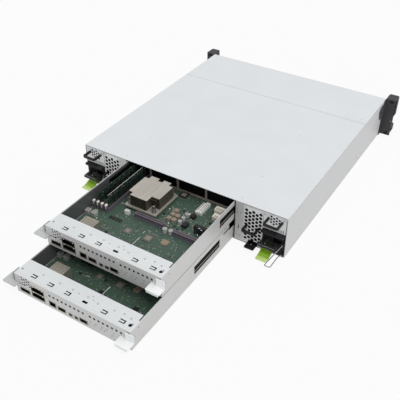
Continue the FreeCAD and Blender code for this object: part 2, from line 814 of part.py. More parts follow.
def power_supply(name, left):
    """Steel case with a vented upper rear, black lower front, pull handle, latch tab and wire bail."""
    case = box("0", "-psu_depth", "0", "psu_width", "psu_depth", "psu_height")
    room = box("psu_skin", "-psu_depth + psu_skin", "psu_skin", "psu_width - 2 * psu_skin",
               "psu_depth - psu_face - 2 * psu_skin", "psu_height - 2 * psu_skin")
    loft = box("psu_skin", "-psu_face - 2 * psu_skin", "psu_split + psu_skin", "psu_width - 2 * psu_skin",
               "psu_face + psu_skin", "psu_height - psu_split - 2 * psu_skin")
    lower = box("-1", "-psu_face", "-1", "psu_width + 2", "psu_face + 1", "psu_split + 1")
    vents = []
    for column in range(4):
        for row in range(3):
            x = f"psu_vent_left + {column} * psu_vent_pitch"
            z = f"psu_vent_low + ({row} + {column % 2} / 2) * 1.15 * psu_vent_pitch"
            vents.append(hexagon("y", x, "-3", z, "psu_vent_radius", "4"))
    node(name + "_case", place(cut(case, room, loft, lower, *vents), left, "rear", "module_floor"))

    block = box("0", "-psu_face + fit", "0", "psu_width", "psu_face - fit", "psu_split - fit")
    slab = box("0", "0", "psu_split - fit - psu_slab_thick", "psu_width", "psu_slab_reach", "psu_slab_thick")
    bar = box("psu_bar_left", "0", "psu_bar_level", "psu_width - psu_bar_left", "psu_bar_reach", "psu_bar_thick")
    gap = box("psu_bar_left + psu_bar_width", "0", "psu_bar_level - 1",
              "psu_width - psu_bar_left - 2 * psu_bar_width", "psu_bar_reach - psu_bar_width", "psu_bar_thick + 2")
    lugs = []
    for level in ("bail_top - bail_lug + 1", "bail_bottom - 1"):
        seat = box("0.4", "-0.5", level, "2 * bail_axis - 0.8", "bail_stand + bail_axis", "bail_lug")
        hole = rod("z", "bail_axis", "bail_stand", f"{level} - 1", "bail_radius + pivot_fit", "bail_lug + 2")
        lugs.append(cut(seat, hole))
    inlet = box("inlet_left", "-inlet_depth", "inlet_low", "inlet_width", "inlet_depth + 20", "inlet_high - inlet_low - 1")
    cells = []
    for column in range(3):
        for row in range(4):
            pitch = "(grid_width + grid_rib) / 3"
            rise = "(inlet_high - inlet_low) / 4"
            cells.append(box(f"grid_left + {column} * {pitch}", "-3", f"inlet_low + {row} * {rise}",
                             f"{pitch} - grid_rib", "4", f"{rise} - grid_rib"))
    pins = [box(f"inlet_left + inlet_width / 2 + {step} * 5 - 1", "-inlet_depth - 0.2", "(inlet_low + inlet_high) / 2 - 3",
                "1.6", "5", "4.5") for step in (-1, 0, 1)]
    shell = cut(join(block, slab, cut(bar, gap), *lugs), inlet, *cells, tab_pocket("psu_tab_left", "psu_tab_width", "psu_pin_level"))
    node(name + "_front", place(join(shell, *pins), left, "rear", "module_floor"))

    handle = u_handle("psu_handle_left", "psu_handle_span", "psu_handle_reach", "handle_bar", "psu_handle_level")
    node(name + "_handle", place(handle, left, "rear", "module_floor"))
    tab = latch_tab(bent_tab(), "psu_tab_left", "psu_tab_width", "psu_tab_reach", "psu_tab_fold", "psu_pin_level")
    node(name + "_latch", place(tab, left, "rear", "module_floor"))
    route = [
        ("bail_axis", "bail_stand", "bail_top"), ("bail_axis", "bail_stand", "bail_top - bail_lug - 1"),
        ("bail_inner - bail_splay", "bail_stand", "bail_level"), ("bail_inner", "bail_length", "bail_level"),
        ("bail_outer", "bail_length", "bail_level"), ("bail_outer", "bail_stand + 4", "bail_level"),
        ("bail_axis", "bail_stand", "bail_bottom - 3"), ("bail_axis", "bail_stand", "bail_bottom + bail_lug - 1"),
    ]
    bail = wire_rod("bail", route, "bail_radius", "bail_bend")
    node(name + "_bail", place(bail, left, "rear", "module_floor"))


def power_supplies():
    power_supply("psu_left", "-psu_start - psu_width")
    power_supply("psu_right", "psu_start")


# ---------------------------------------------------------------- fan modules


HUB_SIDES = 14


def fan_rotor(level):
    """A hub with pitched blades on a centre bore; the axis runs along Y."""
    rotor = body("fan_rotor")
    turns = [2 * math.pi * step / HUB_SIDES for step in range(HUB_SIDES)]
    rim = [(f"{math.cos(turn):.5f} * hub_radius", f"{math.sin(turn):.5f} * hub_radius") for turn in turns]
    hub = sketch(rotor, "XZ_Plane", rim, "duct_start + stator_length + fit")
    pad(rotor, hub, "hub_length")
    chord = number("blade_chord")
    lean = math.radians(number("blade_pitch"))
    along = (chord / 2 * math.sin(lean), chord / 2 * math.cos(lean))
    thick = (number("blade_thick") / 2 * math.cos(lean), -number("blade_thick") / 2 * math.sin(lean))
    middle = number("duct_start + stator_length + fit + hub_length / 2")
    corners = [(sign * along[0] + turn * thick[0], -middle + sign * along[1] + turn * thick[1])
               for sign, turn in ((1, 1), (1, -1), (-1, -1), (-1, 1))]
    blade = sketch(rotor, "XY_Plane", [(f"{x:.4f}", f"{y:.4f}") for x, y in corners], "hub_radius - 1")
    vane = pad(rotor, blade, "blade_reach - hub_radius + 1")
    ring = rotor.newObject("PartDesign::PolarPattern", "blades")
    ring.Originals = [vane]
    ring.Axis = (hub, ["N_Axis"])
    ring.Angle = 360
    ring.Occurrences = int(number("blade_count"))
    rotor.Tip = ring
    bore = circle(rotor, "XZ_Plane", "axle_radius + axle_fit", "duct_start + stator_length + fit - 1")
    pocket(rotor, bore, "hub_length", back=True)
    return place(rotor, "fan_start + fan_width / 2", "rear", f"module_floor + {level}")


def fan_case():
    """A sheet box with a honeycomb rear plate around two stacked fan housings."""
    skin = "module_skin"
    shell = box("0", "-fan_depth", "0", "fan_width", "fan_depth", "module_height")
    room = box(skin, "-fan_depth - 1", skin, f"fan_width - 2 * {skin}", f"fan_depth + 1 - {skin}", f"module_height - 2 * {skin}")
    vents = []
    for column in range(int(number("vent_columns"))):
        for row in range(int(number("vent_rows")) - column % 2):
            vents.append(hexagon("y", f"vent_inset + {column} * vent_pitch", f"-{skin} - 1",
                                 f"vent_low + ({row} + {column % 2} / 2) * vent_rise", "vent_radius", f"{skin} + 2"))
    lugs = [box(left, "-tab_pocket", skin, "tab_lug", "tab_pocket - 3", "tab_level + tab_sheet + 1")
            for left in ("fan_tab_inset - fit - tab_lug", "fan_tab_inset + fan_tab_width + fit")]
    rear_case = cut(join(cut(shell, room), *lugs), *vents, tab_pocket("fan_tab_inset", "fan_tab_width", "tab_pin_level"))
    levels = ("fan_centre_low", "fan_centre_low + fan_spacing")
    housings = []
    for level in levels:
        side = f"fan_width - 2 * {skin} - 2 * fit"
        frame = box(f"{skin} + fit", "-duct_start - duct_length", f"{level} - ({side}) / 2", side, "duct_length", side)
        duct = rod("y", "fan_width / 2", "-duct_start - duct_length - 1", level, "duct_radius", "duct_length + 2")
        struts = [
            box("fan_width / 2 - duct_radius - 1", "-duct_start - strut_depth", f"{level} - strut_width / 2",
                "2 * duct_radius + 2", "strut_depth", "strut_width"),
            box("fan_width / 2 - strut_width / 2", "-duct_start - strut_depth", f"{level} - duct_radius - 1",
                "strut_width", "strut_depth", "2 * duct_radius + 2"),
        ]
        stator = rod("y", "fan_width / 2", "-duct_start - stator_length", level, "stator_radius", "stator_length")
        axle = rod("y", "fan_width / 2", "-duct_start - stator_length - hub_length + 2", level, "axle_radius", "hub_length")
        housings.append(join(cut(frame, duct), *struts, stator, axle))
    return rear_case, housings


def fan_modules():
    rear_case, housings = fan_case()
    case = place(group(rear_case, *housings), "fan_start", "rear", "module_floor")
    handle = u_handle("fan_handle_inset", "fan_handle_span", "handle_reach", "handle_bar", "fan_handle_level")
    place(handle, "fan_start", "rear", "module_floor")
    tab = latch_tab(flat_tab("fan_tab_reach"), "fan_tab_inset", "fan_tab_width", "fan_tab_reach", "fan_tab_fold",
                    "tab_pin_level")
    place(tab, "fan_start", "rear", "module_floor")
    pieces = {
        "case": case,
        "handle": handle,
        "latch": tab,
        "rotor_lower": fan_rotor("fan_centre_low"),
        "rotor_upper": fan_rotor("fan_centre_low + fan_spacing"),
    }
    for part, feature in pieces.items():
        node("fan_right_" + part, feature)
        node("fan_left_" + part, mirror(feature))


# ---------------------------------------------------------------- node trays

PORTS = ("wide", "jack", "serial", "video")
LANCES = ("tray_half - lance_first", "tray_half - lance_first - lance_pitch",
          "tray_half - lance_first - 2 * lance_pitch", "-tray_half + lance_before", "-tray_half + lance_last")


def tray_shell():
    """Floor and side walls from one sheet, with the windows and the low front of the walls."""
    shell = body("tray_shell")
    inner = "tray_half - tray_sheet"
    section = [
        ("-tray_half", "0"), ("tray_half", "0"), ("tray_half", "tray_height"), (inner, "tray_height"),
        (inner, "tray_sheet"), (f"-({inner})", "tray_sheet"), (f"-({inner})", "tray_height"),
        ("-tray_half", "tray_height"),
    ]
    pad(shell, sketch(shell, "XZ_Plane", section), "tray_length")
    rounded(shell, Y_AXIS, "0.8 * tray_sheet", lambda p: p.z < 0.1)
    across = "2 * tray_half + 2"
    start = "-tray_half - 1"
    seat = rectangle("-plate_depth", "tray_height - tray_sheet", "plate_depth + 1", "tray_sheet + 1")
    pocket(shell, sketch(shell, "YZ_Plane", seat, start), across, back=True)
    step = [
        ("-tray_length - 1", "step_height"), ("-step_start", "step_height"), ("-step_start", "step_height + 3"),
        ("-tail_start", "step_height + 3"), ("-tail_start", "step_height + 3 + tail_slot"),
        ("-step_start", "step_height + 3 + tail_slot"), ("-step_start", "tray_height + 1"),
        ("-tray_length - 1", "tray_height + 1"),
    ]
    pocket(shell, sketch(shell, "YZ_Plane", step, start), across, back=True)
    window = rectangle("-window_end", "window_low", "window_end - window_start", "window_high - window_low")
    pocket(shell, sketch(shell, "YZ_Plane", window, start), across, back=True)
    face = rectangle("-tray_half", "0", "2 * tray_half", "tray_height - tray_sheet")
    pad(shell, sketch(shell, "XZ_Plane", face), "tray_sheet")
    return shell


def port_spots():
    """Left edge, width and height of every connector in the rear face."""
    spots = [(name + "_left", name + "_width", name + "_height") for name in PORTS]
    spots.append(("mini_left", "mini_width", "mini_height"))
    spots.append(("mini_left - mini_width - mini_gap", "mini_width", "mini_height"))
    return spots


def rear_openings():
    """Cutters for the rear face: connectors, the round-hole row, the mesh and the lever slots."""
    depth = "tray_sheet + 2"
    start = "-tray_sheet - 1"
    tools = [box(f"{left} - fit", start, "board_top - fit", f"{wide} + 2 * fit", depth,
                 f"port_level - board_top + {tall} + 2 * fit") for left, wide, tall in port_spots()]
    tools.append(box("cage_left - fit", start, "board_top - fit", "cage_width + 2 * fit", depth,
                     "cage_top - board_top + 2 * fit"))
    count = int(number("(tray_half + holes_restart - holes_margin) / hole_pitch")) + 1
    for first, holes in (("holes_start", 9), ("holes_restart", count)):
        tools += [hexagon("y", f"{first} - {index} * hole_pitch", start, "hole_row", "hole_radius", depth)
                  for index in range(holes)]
    for column in range(4):
        for row in range(3):
            tools.append(hexagon("y", f"mesh_left + {column} * mesh_pitch", start,
                                 f"mesh_low + 4 + ({row} + {column % 2} / 2) * 1.1 * mesh_pitch", "mesh_radius", depth))
    low = "lever_level - fit"
    tall = "lever_sheet + 3 * fit"
    for sign in ("", "-"):
        inner = "pivot_place - lever_inner - 3 * fit"
        wide = "tray_half - pivot_place + lever_inner + 3 * fit + 1"
        left = inner if not sign else "-tray_half - 1"
        tools.append(box(left, start, low, wide, depth, tall))
        side = "tray_half - tray_sheet - fit" if not sign else "-tray_half - 1"
        tools.append(box(side, "-pivot_depth - lever_tail - 2", low, "tray_sheet + fit + 1",
                         "pivot_depth + lever_tail + 3", tall))
    return tools


def lever_seat(sign):
    """A shelf inside the side wall with the headed pin that a lever turns on."""
    left = "pivot_place - rivet_radius - 1.5" if sign > 0 else "-tray_half + tray_sheet"
    wide = "tray_half - tray_sheet - pivot_place + rivet_radius + 1.5"
    shelf = box(left, "-pivot_depth - rivet_radius - 1.5", "seat_top - lever_sheet", wide,
                "pivot_depth + rivet_radius + 1.5 - tray_sheet", "lever_sheet")
    middle = f"{sign} * pivot_place"
    pin = rod("z", middle, "-pivot_depth", "seat_top - lever_sheet / 2", "pivot_radius",
              "lever_sheet * 1.5 + 2 * fit + rivet_head / 2")
    head = rod("z", middle, "-pivot_depth", "lever_top + fit", "rivet_radius", "rivet_head")
    return [shelf, pin, head]


def tray():
    """The finished tray: shell, lever seats and the standoffs that carry the board."""
    standoffs = []
    for x in ("-tray_half + 16.5", "-8", "tray_half - 40.5"):
        for y in ("-20", "-140", "-300"):
            standoffs.append(hexagon("z", x, y, "tray_sheet / 2", "standoff_radius", "board_level - tray_sheet / 2"))
    return join(cut(tray_shell(), *rear_openings()), *lever_seat(1), *lever_seat(-1), *standoffs)


def top_plate():
    """The plate across the rear of the tray, with lanced tongues, a slot and a corner notch."""
    plate = box("-tray_half", "-plate_depth", "tray_height - tray_sheet", "2 * tray_half", "plate_depth", "tray_sheet")
    low = "tray_height - tray_sheet - 1"
    tall = "tray_sheet + 2"
    tools = []
    for middle in LANCES:
        left = f"{middle} - lance_length / 2"
        near = "-lance_inset - lance_width / 2"
        tools.append(box(left, near, low, "lance_slot", "lance_width", tall))
        for edge in (near, f"{near} + lance_width - lance_slot"):
            tools.append(box(left, edge, low, "lance_length", "lance_slot", tall))
    tools.append(box("-tray_half + slot_inset - lance_length / 2", "-lance_inset - 2.2", low, "lance_length", "4.4",
                     tall))
    tools.append(rod("z", "-tray_half + plate_hole_inset", "-lance_inset", low, "plate_hole_radius", tall))
    tools.append(box("-tray_half + tray_sheet", "-plate_depth - 1", low, "notch_width", "corner_notch + 1", tall))
    return cut(plate, *tools)


def lever():
    """An ejector lever about its own pivot, closed, as it is on the left corner of a tray."""
    blade = body("lever")
    outer = "-(tray_half - pivot_place - fit)"
    clear = "pivot_depth + 4 * fit"
    outline = [
        (outer, "-lever_tail"), ("lever_inner", "-lever_tail"), ("lever_inner", "lever_reach"),
        ("-lever_outer", "lever_reach"), ("-lever_outer", clear), (outer, clear),
    ]
    pad(blade, sketch(blade, "XY_Plane", outline), "lever_sheet")
    far = number("lever_reach") - 0.1
    rounded(blade, Z_AXIS, "lever_corner", lambda p: p.y > far)
    lip = rectangle("-lever_outer + lever_corner", "lever_reach - lever_sheet",
                    "lever_outer + lever_inner - 2 * lever_corner", "lever_sheet")
    pad(blade, sketch(blade, "XY_Plane", lip), "lever_lip", back=True)
    web = rectangle("-lever_outer", "pivot_depth + 5 * fit", "lever_outer + lever_web_end", "lever_sheet - fit")
    pad(blade, sketch(blade, "XY_Plane", web, "lever_sheet"), "lever_web")
    bore = rod("z", "0", "0", "-1", "pivot_radius + pivot_fit", "lever_sheet + 2")
    return cut(blade, bore)


def main_board():
    """The circuit board, narrowed at the front where it passes the tray's folded tail."""
    board = body("main_board")
    edge = "tray_half - tray_sheet - board_edge"
    outline = [
        (f"-({edge})", "-tray_sheet - 2 * fit"), (edge, "-tray_sheet - 2 * fit"), (edge, "-step_start"),
        (f"{edge} - board_notch", "-step_start"), (f"{edge} - board_notch", "-tray_length + board_edge"),
        (f"-({edge}) + board_notch", "-tray_length + board_edge"), (f"-({edge}) + board_notch", "-step_start"),
        (f"-({edge})", "-step_start"),
    ]
    pad(board, sketch(board, "XY_Plane", outline, "board_level"), "board_thick")
    return board


def heatsink():
    """Base plate, a row of fins, and a top sheet with its corners cut away over the spring screws."""
    sink = body("heatsink")
    base = rectangle("sink_left - sink_base_margin", "-sink_rear - sink_depth - sink_base_margin",
                     "sink_width + 2 * sink_base_margin", "sink_depth + 2 * sink_base_margin")
    pad(sink, sketch(sink, "XY_Plane", base, "sink_floor"), "sink_base")
    fin = rectangle("sink_left", "-sink_rear - sink_depth", "fin_sheet", "sink_depth")
    first = sketch(sink, "XY_Plane", fin, "fin_floor")
    blade = pad(sink, first, "sink_top - fin_floor")
    row = sink.newObject("PartDesign::LinearPattern", "fins")
    row.Originals = [blade]
    row.Direction = (first, ["H_Axis"])
    count = int(number("sink_width / fin_pitch")) + 1
    row.Occurrences = count
    bind(row, Length="sink_width - fin_sheet")
    sink.Tip = row
    top = rectangle("sink_left", "-sink_rear - sink_depth", "sink_width", "sink_depth")
    pad(sink, sketch(sink, "XY_Plane", top, "sink_top - sheet"), "sheet")
    wells = [
        ("sink_left", "-sink_rear - screw_well", "screw_well", "screw_well"),
        ("sink_left + sink_width - small_well", "-sink_rear - small_well", "small_well", "small_well"),
        ("sink_left", "-sink_rear - sink_depth", "small_well", "small_well"),
        ("sink_left + sink_width - small_well", "-sink_rear - sink_depth", "small_well", "small_well"),
    ]
    tools = [box(f"{x} - 1" if x == "sink_left" else x, y if "sink_depth" not in y else f"{y} - 1", "fin_floor",
                 f"{dx} + 1", f"{dy} + 1", "sink_top") for x, y, dx, dy in wells]
    tools.append(box("sink_left + sink_width / 2 - 6", "-sink_rear - sink_depth - 1", "fin_floor", "10", "8", "sink_top"))
    screws = []
    for x in ("sink_left + screw_place / 2", "sink_left + sink_width - screw_place / 2"):
        for y in ("-sink_rear - screw_place / 2", "-sink_rear - sink_depth + screw_place / 2"):
            screws.append(join(rod("z", x, y, "fin_floor", "spring_radius", "spring_top - fin_floor"),
                               rod("z", x, y, "spring_top", "screw_head", "screw_head")))
    return group(cut(sink, *tools), *screws)


def memory():
    """Sockets with a latch at each end, and modules in the first and third of them."""
    sockets = []
    modules = []
    for index in range(4):
        middle = f"dimm_first + {index} * dimm_pitch"
        far = "-dimm_rear - dimm_length"
        channel = cut(
            box(f"{middle} - dimm_socket_width / 2", far, "board_top", "dimm_socket_width", "dimm_length", "dimm_socket_height"),
            box(f"{middle} - dimm_board / 2 - fit", f"{far} + 2", "board_top + dimm_seat - fit", "dimm_board + 2 * fit",
                "dimm_length - 4", "dimm_socket_height"))
        sockets.append(channel)
        for end in ("-dimm_rear", f"{far} - dimm_latch_length"):
            sockets.append(box(f"{middle} - dimm_latch_width / 2", end, "board_top", "dimm_latch_width",
                               "dimm_latch_length", "dimm_latch_height"))
        if index % 2 == 0:
            board = box(f"{middle} - dimm_board / 2", f"{far} + 3", "board_top + dimm_seat", "dimm_board",
                        "dimm_length - 6", "dimm_top - board_top - dimm_seat")
            chips = [box(f"{middle} - dimm_board / 2 - chip_thick", f"{far} + 8 + {step} * 15.5", "board_top + dimm_socket_height + 5",
                         "dimm_board + 2 * chip_thick", "10", "13") for step in range(8)]
            modules.append(join(board, *chips))
    return group(*sockets), group(*modules)


def expansion_slots():
    """Two edge-connector sockets that lie across the board."""
    slots = []
    for left, rear_edge, length in (("-30", "-128", "61"), ("-tray_half + 14.5", "-122", "49")):
        shell = box(left, f"{rear_edge} - slot_width", "board_top", length, "slot_width", "slot_height")
        groove = box(f"{left} + 2", f"{rear_edge} - slot_width / 2 - slot_groove / 2", "board_top + 3", f"{length} - 4",
                     "slot_groove", "slot_height")
        slots.append(cut(shell, groove))
    return group(*slots)


def airflow_frame():
    """A sheet frame across the board with three windows."""
    plate = box("frame_left", "-frame_place", "board_top", "frame_right - frame_left", "frame_thick", "frame_top - board_top")
    windows = []
    width = "(frame_right - frame_left - frame_post) / 3"
    for index in range(3):
        windows.append(box(f"frame_left + frame_post + {index} * {width}", "-frame_place - 1", "board_top + frame_bar",
                           f"{width} - frame_post", "frame_thick + 2", "frame_top - board_top - 2 * frame_bar"))
    return cut(plate, *windows)


def rear_ports():
    """Connector shells that stand in the rear face's cut-outs."""
    shells = []
    for left, wide, tall in port_spots():
        shell = box(left, "-port_depth", "board_top", wide, "port_depth + fit", f"port_level - board_top + {tall}")
        mouth = box(f"{left} + port_wall", "-port_depth / 2", "port_level + port_wall", f"{wide} - 2 * port_wall",
                    "port_depth", f"{tall} - 2 * port_wall")
        shells.append(cut(shell, mouth))
    return group(*shells)


def port_cage():
    """The tall cage of two stacked module ports."""
    shell = box("cage_left", "-cage_depth", "board_top", "cage_width", "cage_depth + fit", "cage_top - board_top")
    mouths = [box("cage_left + port_wall", "-cage_depth / 2", f"board_top + {level}", "cage_width - 2 * port_wall",
                  "cage_depth", "cage_port_height") for level in ("2", "14")]
    return cut(shell, *mouths)


# board components: left edge from a datum, distance behind the tray's rear face, width, depth, height
CHIPS = {
    "0": (
        (12, 86, 14, 14, 1.6), (-58, 96, 12, 12, 1.4), (-31, 86, 18, 18, 2.0), (-15, 222, 16, 16, 2.0),
        (44, 104, 5, 7, 1.4), (51, 104, 5, 7, 1.4), (58, 104, 5, 7, 1.4), (65, 104, 5, 7, 1.4),
        (-28, 152, 8, 8, 6.5), (-38, 152, 8, 8, 6.5), (-28, 164, 8, 8, 6.5), (-38, 164, 8, 8, 6.5),
        (-28, 176, 8, 8, 6.5), (-61, 178, 8, 10, 7.0), (-62, 150, 9, 12, 6.0), (-66, 195, 8, 33, 6.5),
        (44, 128, 9, 6, 8.0), (-80, 60, 10, 10, 1.2), (-10, 60, 9, 9, 1.2),
    ),
    "tray_half": ((-11.5, 92, 9, 9, 8.0), (-25.5, 92, 9, 9, 8.0)),
    "-tray_half": ((18.5, 212, 16, 8, 11.0), (15.5, 196, 14, 7, 8.0), (12.5, 148, 24, 7, 17.0)),
}
CANS = ((-36, 125, 4.2, 8.0), (-47.5, 126, 4.0, 8.0), (-46, 157, 3.6, 7.0), (-46, 168, 3.6, 7.0), (-46, 180, 3.6, 7.0))


def board_parts():
    """Chips, chokes, capacitors and headers, the processor in its socket, and the midplane plug."""
    pieces = [box(f"{datum} + {x}", f"-{y} - {dy}", "board_top", str(dx), str(dy), str(dz))
              for datum, chips in CHIPS.items() for x, y, dx, dy, dz in chips]
    pieces += [rod("z", str(x), f"-{y}", "board_top", str(r), str(dz)) for x, y, r, dz in CANS]
    middle = ("sink_left + sink_width / 2", "-sink_rear - sink_depth / 2")
    pieces.append(box(f"{middle[0]} - socket_half", f"{middle[1]} - socket_half", "board_top", "2 * socket_half",
                      "2 * socket_half", "socket_height"))
    pieces.append(box(f"{middle[0]} - package_half", f"{middle[1]} - package_half", "board_top + socket_height",
                      "2 * package_half", "2 * package_half", "package_height"))
    foot = box("-plug_half", "-tray_length + board_edge", "board_top", "2 * plug_half", "plug_body - board_edge",
               "plug_height")
    tongue = box("-plug_half", "-tray_length - plug_reach", "board_top + 2", "2 * plug_half",
                 "plug_reach + plug_body", "plug_height")
    pieces.append(join(foot, tongue))
    return group(*pieces)


def node_tray(name, pull, floor):
    sockets, modules = memory()
    pieces = {
        "tray": tray(),
        "top_plate": top_plate(),
        "mainboard": main_board(),
        "board_parts": board_parts(),
        "rear_ports": rear_ports(),
        "port_cage": port_cage(),
        "heatsink": heatsink(),
        "memory_sockets": sockets,
        "memory_modules": modules,
        "expansion_slots": expansion_slots(),
        "airflow_frame": airflow_frame(),
    }
    for part, feature in pieces.items():
        node(f"{name}_{part}", place(feature, "0", f"rear + {pull}", floor))
    closed = lever()
    node(name + "_lever_left", place(closed, "-pivot_place", f"rear + {pull} - pivot_depth", f"{floor} + lever_level"))
    opened = mirror(lever())
    opened.Placement.Rotation = FreeCAD.Rotation(Z_AXIS, -90)
    node(name + "_lever_right", place(opened, "pivot_place", f"rear + {pull} - pivot_depth", f"{floor} + lever_level"))


def check(feature):
    if any(word in ("Invalid", "Error") for word in feature.State):
        raise RuntimeError(f"{feature.Label} ({feature.TypeId}) failed: {feature.State}")


def main():
    fill_sheet()
    chassis_tray()
    cover("rear_cover", "rear - cover_seam + seam_gap / 2", "rear")
    cover("front_cover", "front", "rear - cover_seam - seam_gap / 2")
    bay_walls()
    power_bay_walls()
    midplane()
    midplane_sockets()
    drive_cage()
    rack_ears()
    drives()
    power_supplies()
    fan_modules()
    node_tray("lower", "lower_pull", "lower_floor")
    node_tray("upper", "upper_pull", "upper_floor")
    doc.recompute()
    for feature in doc.Objects:
        check(feature)
    os.makedirs("parts", exist_ok=True)
    for name, feature in nodes.items():
        if feature.Shape.isNull() or not feature.Shape.isValid() or not feature.Shape.Solids:
            raise RuntimeError(f"{name}: no sound shape")
        feature.Shape.exportStep(f"parts/{name}.step")
        print(name, len(feature.Shape.Solids), round(feature.Shape.Volume))


main()
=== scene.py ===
"""Looks for a 2U rack server: finishes, studio and the small detail that the solids leave out.

Metres in Blender, millimetres inside Shapes. Every place is worked out from the frame's nodes.
"""

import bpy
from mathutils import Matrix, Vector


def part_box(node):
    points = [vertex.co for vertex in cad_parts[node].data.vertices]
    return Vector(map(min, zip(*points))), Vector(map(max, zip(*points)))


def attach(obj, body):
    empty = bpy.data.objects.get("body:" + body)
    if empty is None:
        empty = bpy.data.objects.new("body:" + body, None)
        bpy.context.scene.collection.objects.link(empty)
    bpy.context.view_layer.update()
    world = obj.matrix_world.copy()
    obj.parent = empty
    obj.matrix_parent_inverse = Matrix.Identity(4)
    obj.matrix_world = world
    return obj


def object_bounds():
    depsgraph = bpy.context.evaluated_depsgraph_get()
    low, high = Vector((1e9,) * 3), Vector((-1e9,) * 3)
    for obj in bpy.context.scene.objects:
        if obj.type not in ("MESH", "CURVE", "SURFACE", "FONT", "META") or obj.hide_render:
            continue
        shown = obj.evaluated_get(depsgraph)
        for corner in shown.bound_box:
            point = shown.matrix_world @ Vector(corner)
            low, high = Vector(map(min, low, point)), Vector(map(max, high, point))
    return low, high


bl_info = {
    "name": "Rack Server Looks",
    "version": (1, 1, 0),
    "blender": (4, 5, 0),
    "location": "View3D > Sidebar > Rack Server",
    "description": "Builds the finishes, the fine detail and the studio of a 2U rack server",
    "category": "Object",
}

import math
import random

import bmesh
import bpy
from mathutils import Matrix, Vector

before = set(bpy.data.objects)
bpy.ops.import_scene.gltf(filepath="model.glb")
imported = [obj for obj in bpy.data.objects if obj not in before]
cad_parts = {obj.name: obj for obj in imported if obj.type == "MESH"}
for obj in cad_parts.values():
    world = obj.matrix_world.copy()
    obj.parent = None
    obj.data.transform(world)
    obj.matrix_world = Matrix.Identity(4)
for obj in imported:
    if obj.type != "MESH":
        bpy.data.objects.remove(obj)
CAD_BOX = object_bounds()
MM = 0.001
SIDES = ("left", "right")
TRAYS = ("lower", "upper")


def shade(red, green, blue):
    """A colour given as it looks on screen, 0 to 255, in the shader's linear values."""
    def linear(value):
        value /= 255
        return value / 12.92 if value <= 0.04045 else ((value + 0.055) / 1.055) ** 2.4
    return linear(red), linear(green), linear(blue), 1.0


# ---------------------------------------------------------------- settings


def colour(title, note, red, green, blue):
    return bpy.props.FloatVectorProperty(name=title, description=note, default=shade(red, green, blue),
                                         size=4, min=0, max=1, subtype="COLOR")


def length(title, note, millimetres):
    return bpy.props.FloatProperty(name=title, description=note, default=millimetres * MM, min=0,
                                   precision=4, unit="LENGTH", subtype="DISTANCE")


def share(title, note, value):
    return bpy.props.FloatProperty(name=title, description=note, default=value, min=0, max=1,
                                   subtype="FACTOR")


class SteelColours(bpy.types.PropertyGroup):
    """Painted, plated and machined metal."""
    cover_steel: colour("Covers", "Painted steel of the two top covers", 225, 228, 229)
    # the chassis paint, partly its own tone and partly painted shade that darkens the sides against the
    # covers
    chassis_steel: colour("Chassis", "Painted steel of the chassis sides and floor", 214, 214, 214)
    plated_steel: colour("Strips", "Zinc-plated steel of the bay walls and the drive cage", 204, 204, 203)
    tray_steel: colour("Trays", "Plated steel of the node trays", 212, 212, 210)
    plate_steel: colour("Top plates", "Bright plated steel of the trays' top plates", 226, 229, 229)
    case_steel: colour("Module cases", "Plated steel of the power supplies and fan modules", 234, 235, 235)
    airflow_steel: colour("Airflow frames", "Plated steel of the frames before the heatsinks", 176, 166, 152)
    fin_aluminium: colour("Heatsinks", "Warm bare aluminium of the heatsinks", 202, 196, 184)
    port_nickel: colour("Connector shells", "Nickel shells of the rear connectors", 176, 170, 156)
    # lit and shaded copies of one lever finish: painted light on the left levers, painted shade on the right
    # ones
    lever_light: colour("Closed levers", "Bright levers on the left of each tray", 246, 247, 247)
    lever_dark: colour("Opened levers", "Duller levers on the right of each tray", 206, 207, 207)
    bright_wire: colour("Wire", "Spring steel of the bails and heatsink springs", 186, 187, 190)
    solder: colour("Solder and screws", "Tinned legs, terminals and screw heads", 205, 206, 205)
    brass_pin: colour("Contacts", "Gold-plated contacts", 158, 134, 88)


class PlasticColours(bpy.types.PropertyGroup):
    """Moulded parts, painted shade, painted highlights and lamps."""
    black_plastic: colour("Black", "Moulded black of ears, carriers and power supply faces", 27, 27, 29)
    handle_black: colour("Handles", "Glossier black of the pull handles", 19, 19, 20)
    # painted shade: a dark fill put in and behind openings, in gaps, along the foot and on the insides of
    # cases
    painted_shade: colour("Film", "Insulating film behind the tray's openings", 15, 15, 16)
    slot_plastic: colour("Expansion slots", "Dark grey bodies of the expansion slots", 46, 46, 45)
    dark_plastic: colour("Ribs", "Dark ribs and grilles", 46, 45, 49)
    grey_plastic: colour("Grey", "Latch bars and trims", 120, 121, 124)
    cream_plastic: colour("Cream", "Memory latches and board connectors", 236, 232, 222)
    lime_plastic: colour("Release tabs", "Lime green release tabs", 146, 190, 40)
    # painted highlight on the release tabs' raised rib, grip lines and fold
    lime_edge: colour("Tab edges", "The paler raised rib and fold of the release tabs", 206, 228, 140)
    status_green: colour("Green lamps", "Status lamps that show power", 90, 200, 90)
    status_amber: colour("Amber lamps", "Status lamps that show a fault", 214, 150, 50)
    chip_black: colour("Chips", "Moulded chip packages", 42, 42, 44)
    choke_grey: colour("Chokes", "Sintered bodies of the chokes", 150, 140, 128)


class BoardColours(bpy.types.PropertyGroup):
    """Circuit boards, and how thickly small parts stand on them."""
    mask: colour("Board", "Solder mask of the main boards", 62, 82, 70)
    run: colour("Runs", "Copper runs under the solder mask", 80, 103, 89)
    pad: colour("Pads", "Tinned pads", 172, 172, 160)
    memory_mask: colour("Memory board", "Solder mask of the memory modules", 27, 46, 36)
    memory_run: colour("Memory runs", "Copper runs on the memory modules", 38, 60, 48)
    rows: bpy.props.IntProperty(name="Rows of small parts", default=420, min=0, max=2000, subtype="UNSIGNED",
                                description="Rows of resistors and capacitors tried on each main board")
    cluster: bpy.props.IntProperty(name="Parts by the chokes", default=110, min=0, max=500,
                                   subtype="UNSIGNED",
                                   description="Larger parts tried round the chokes of each main board")


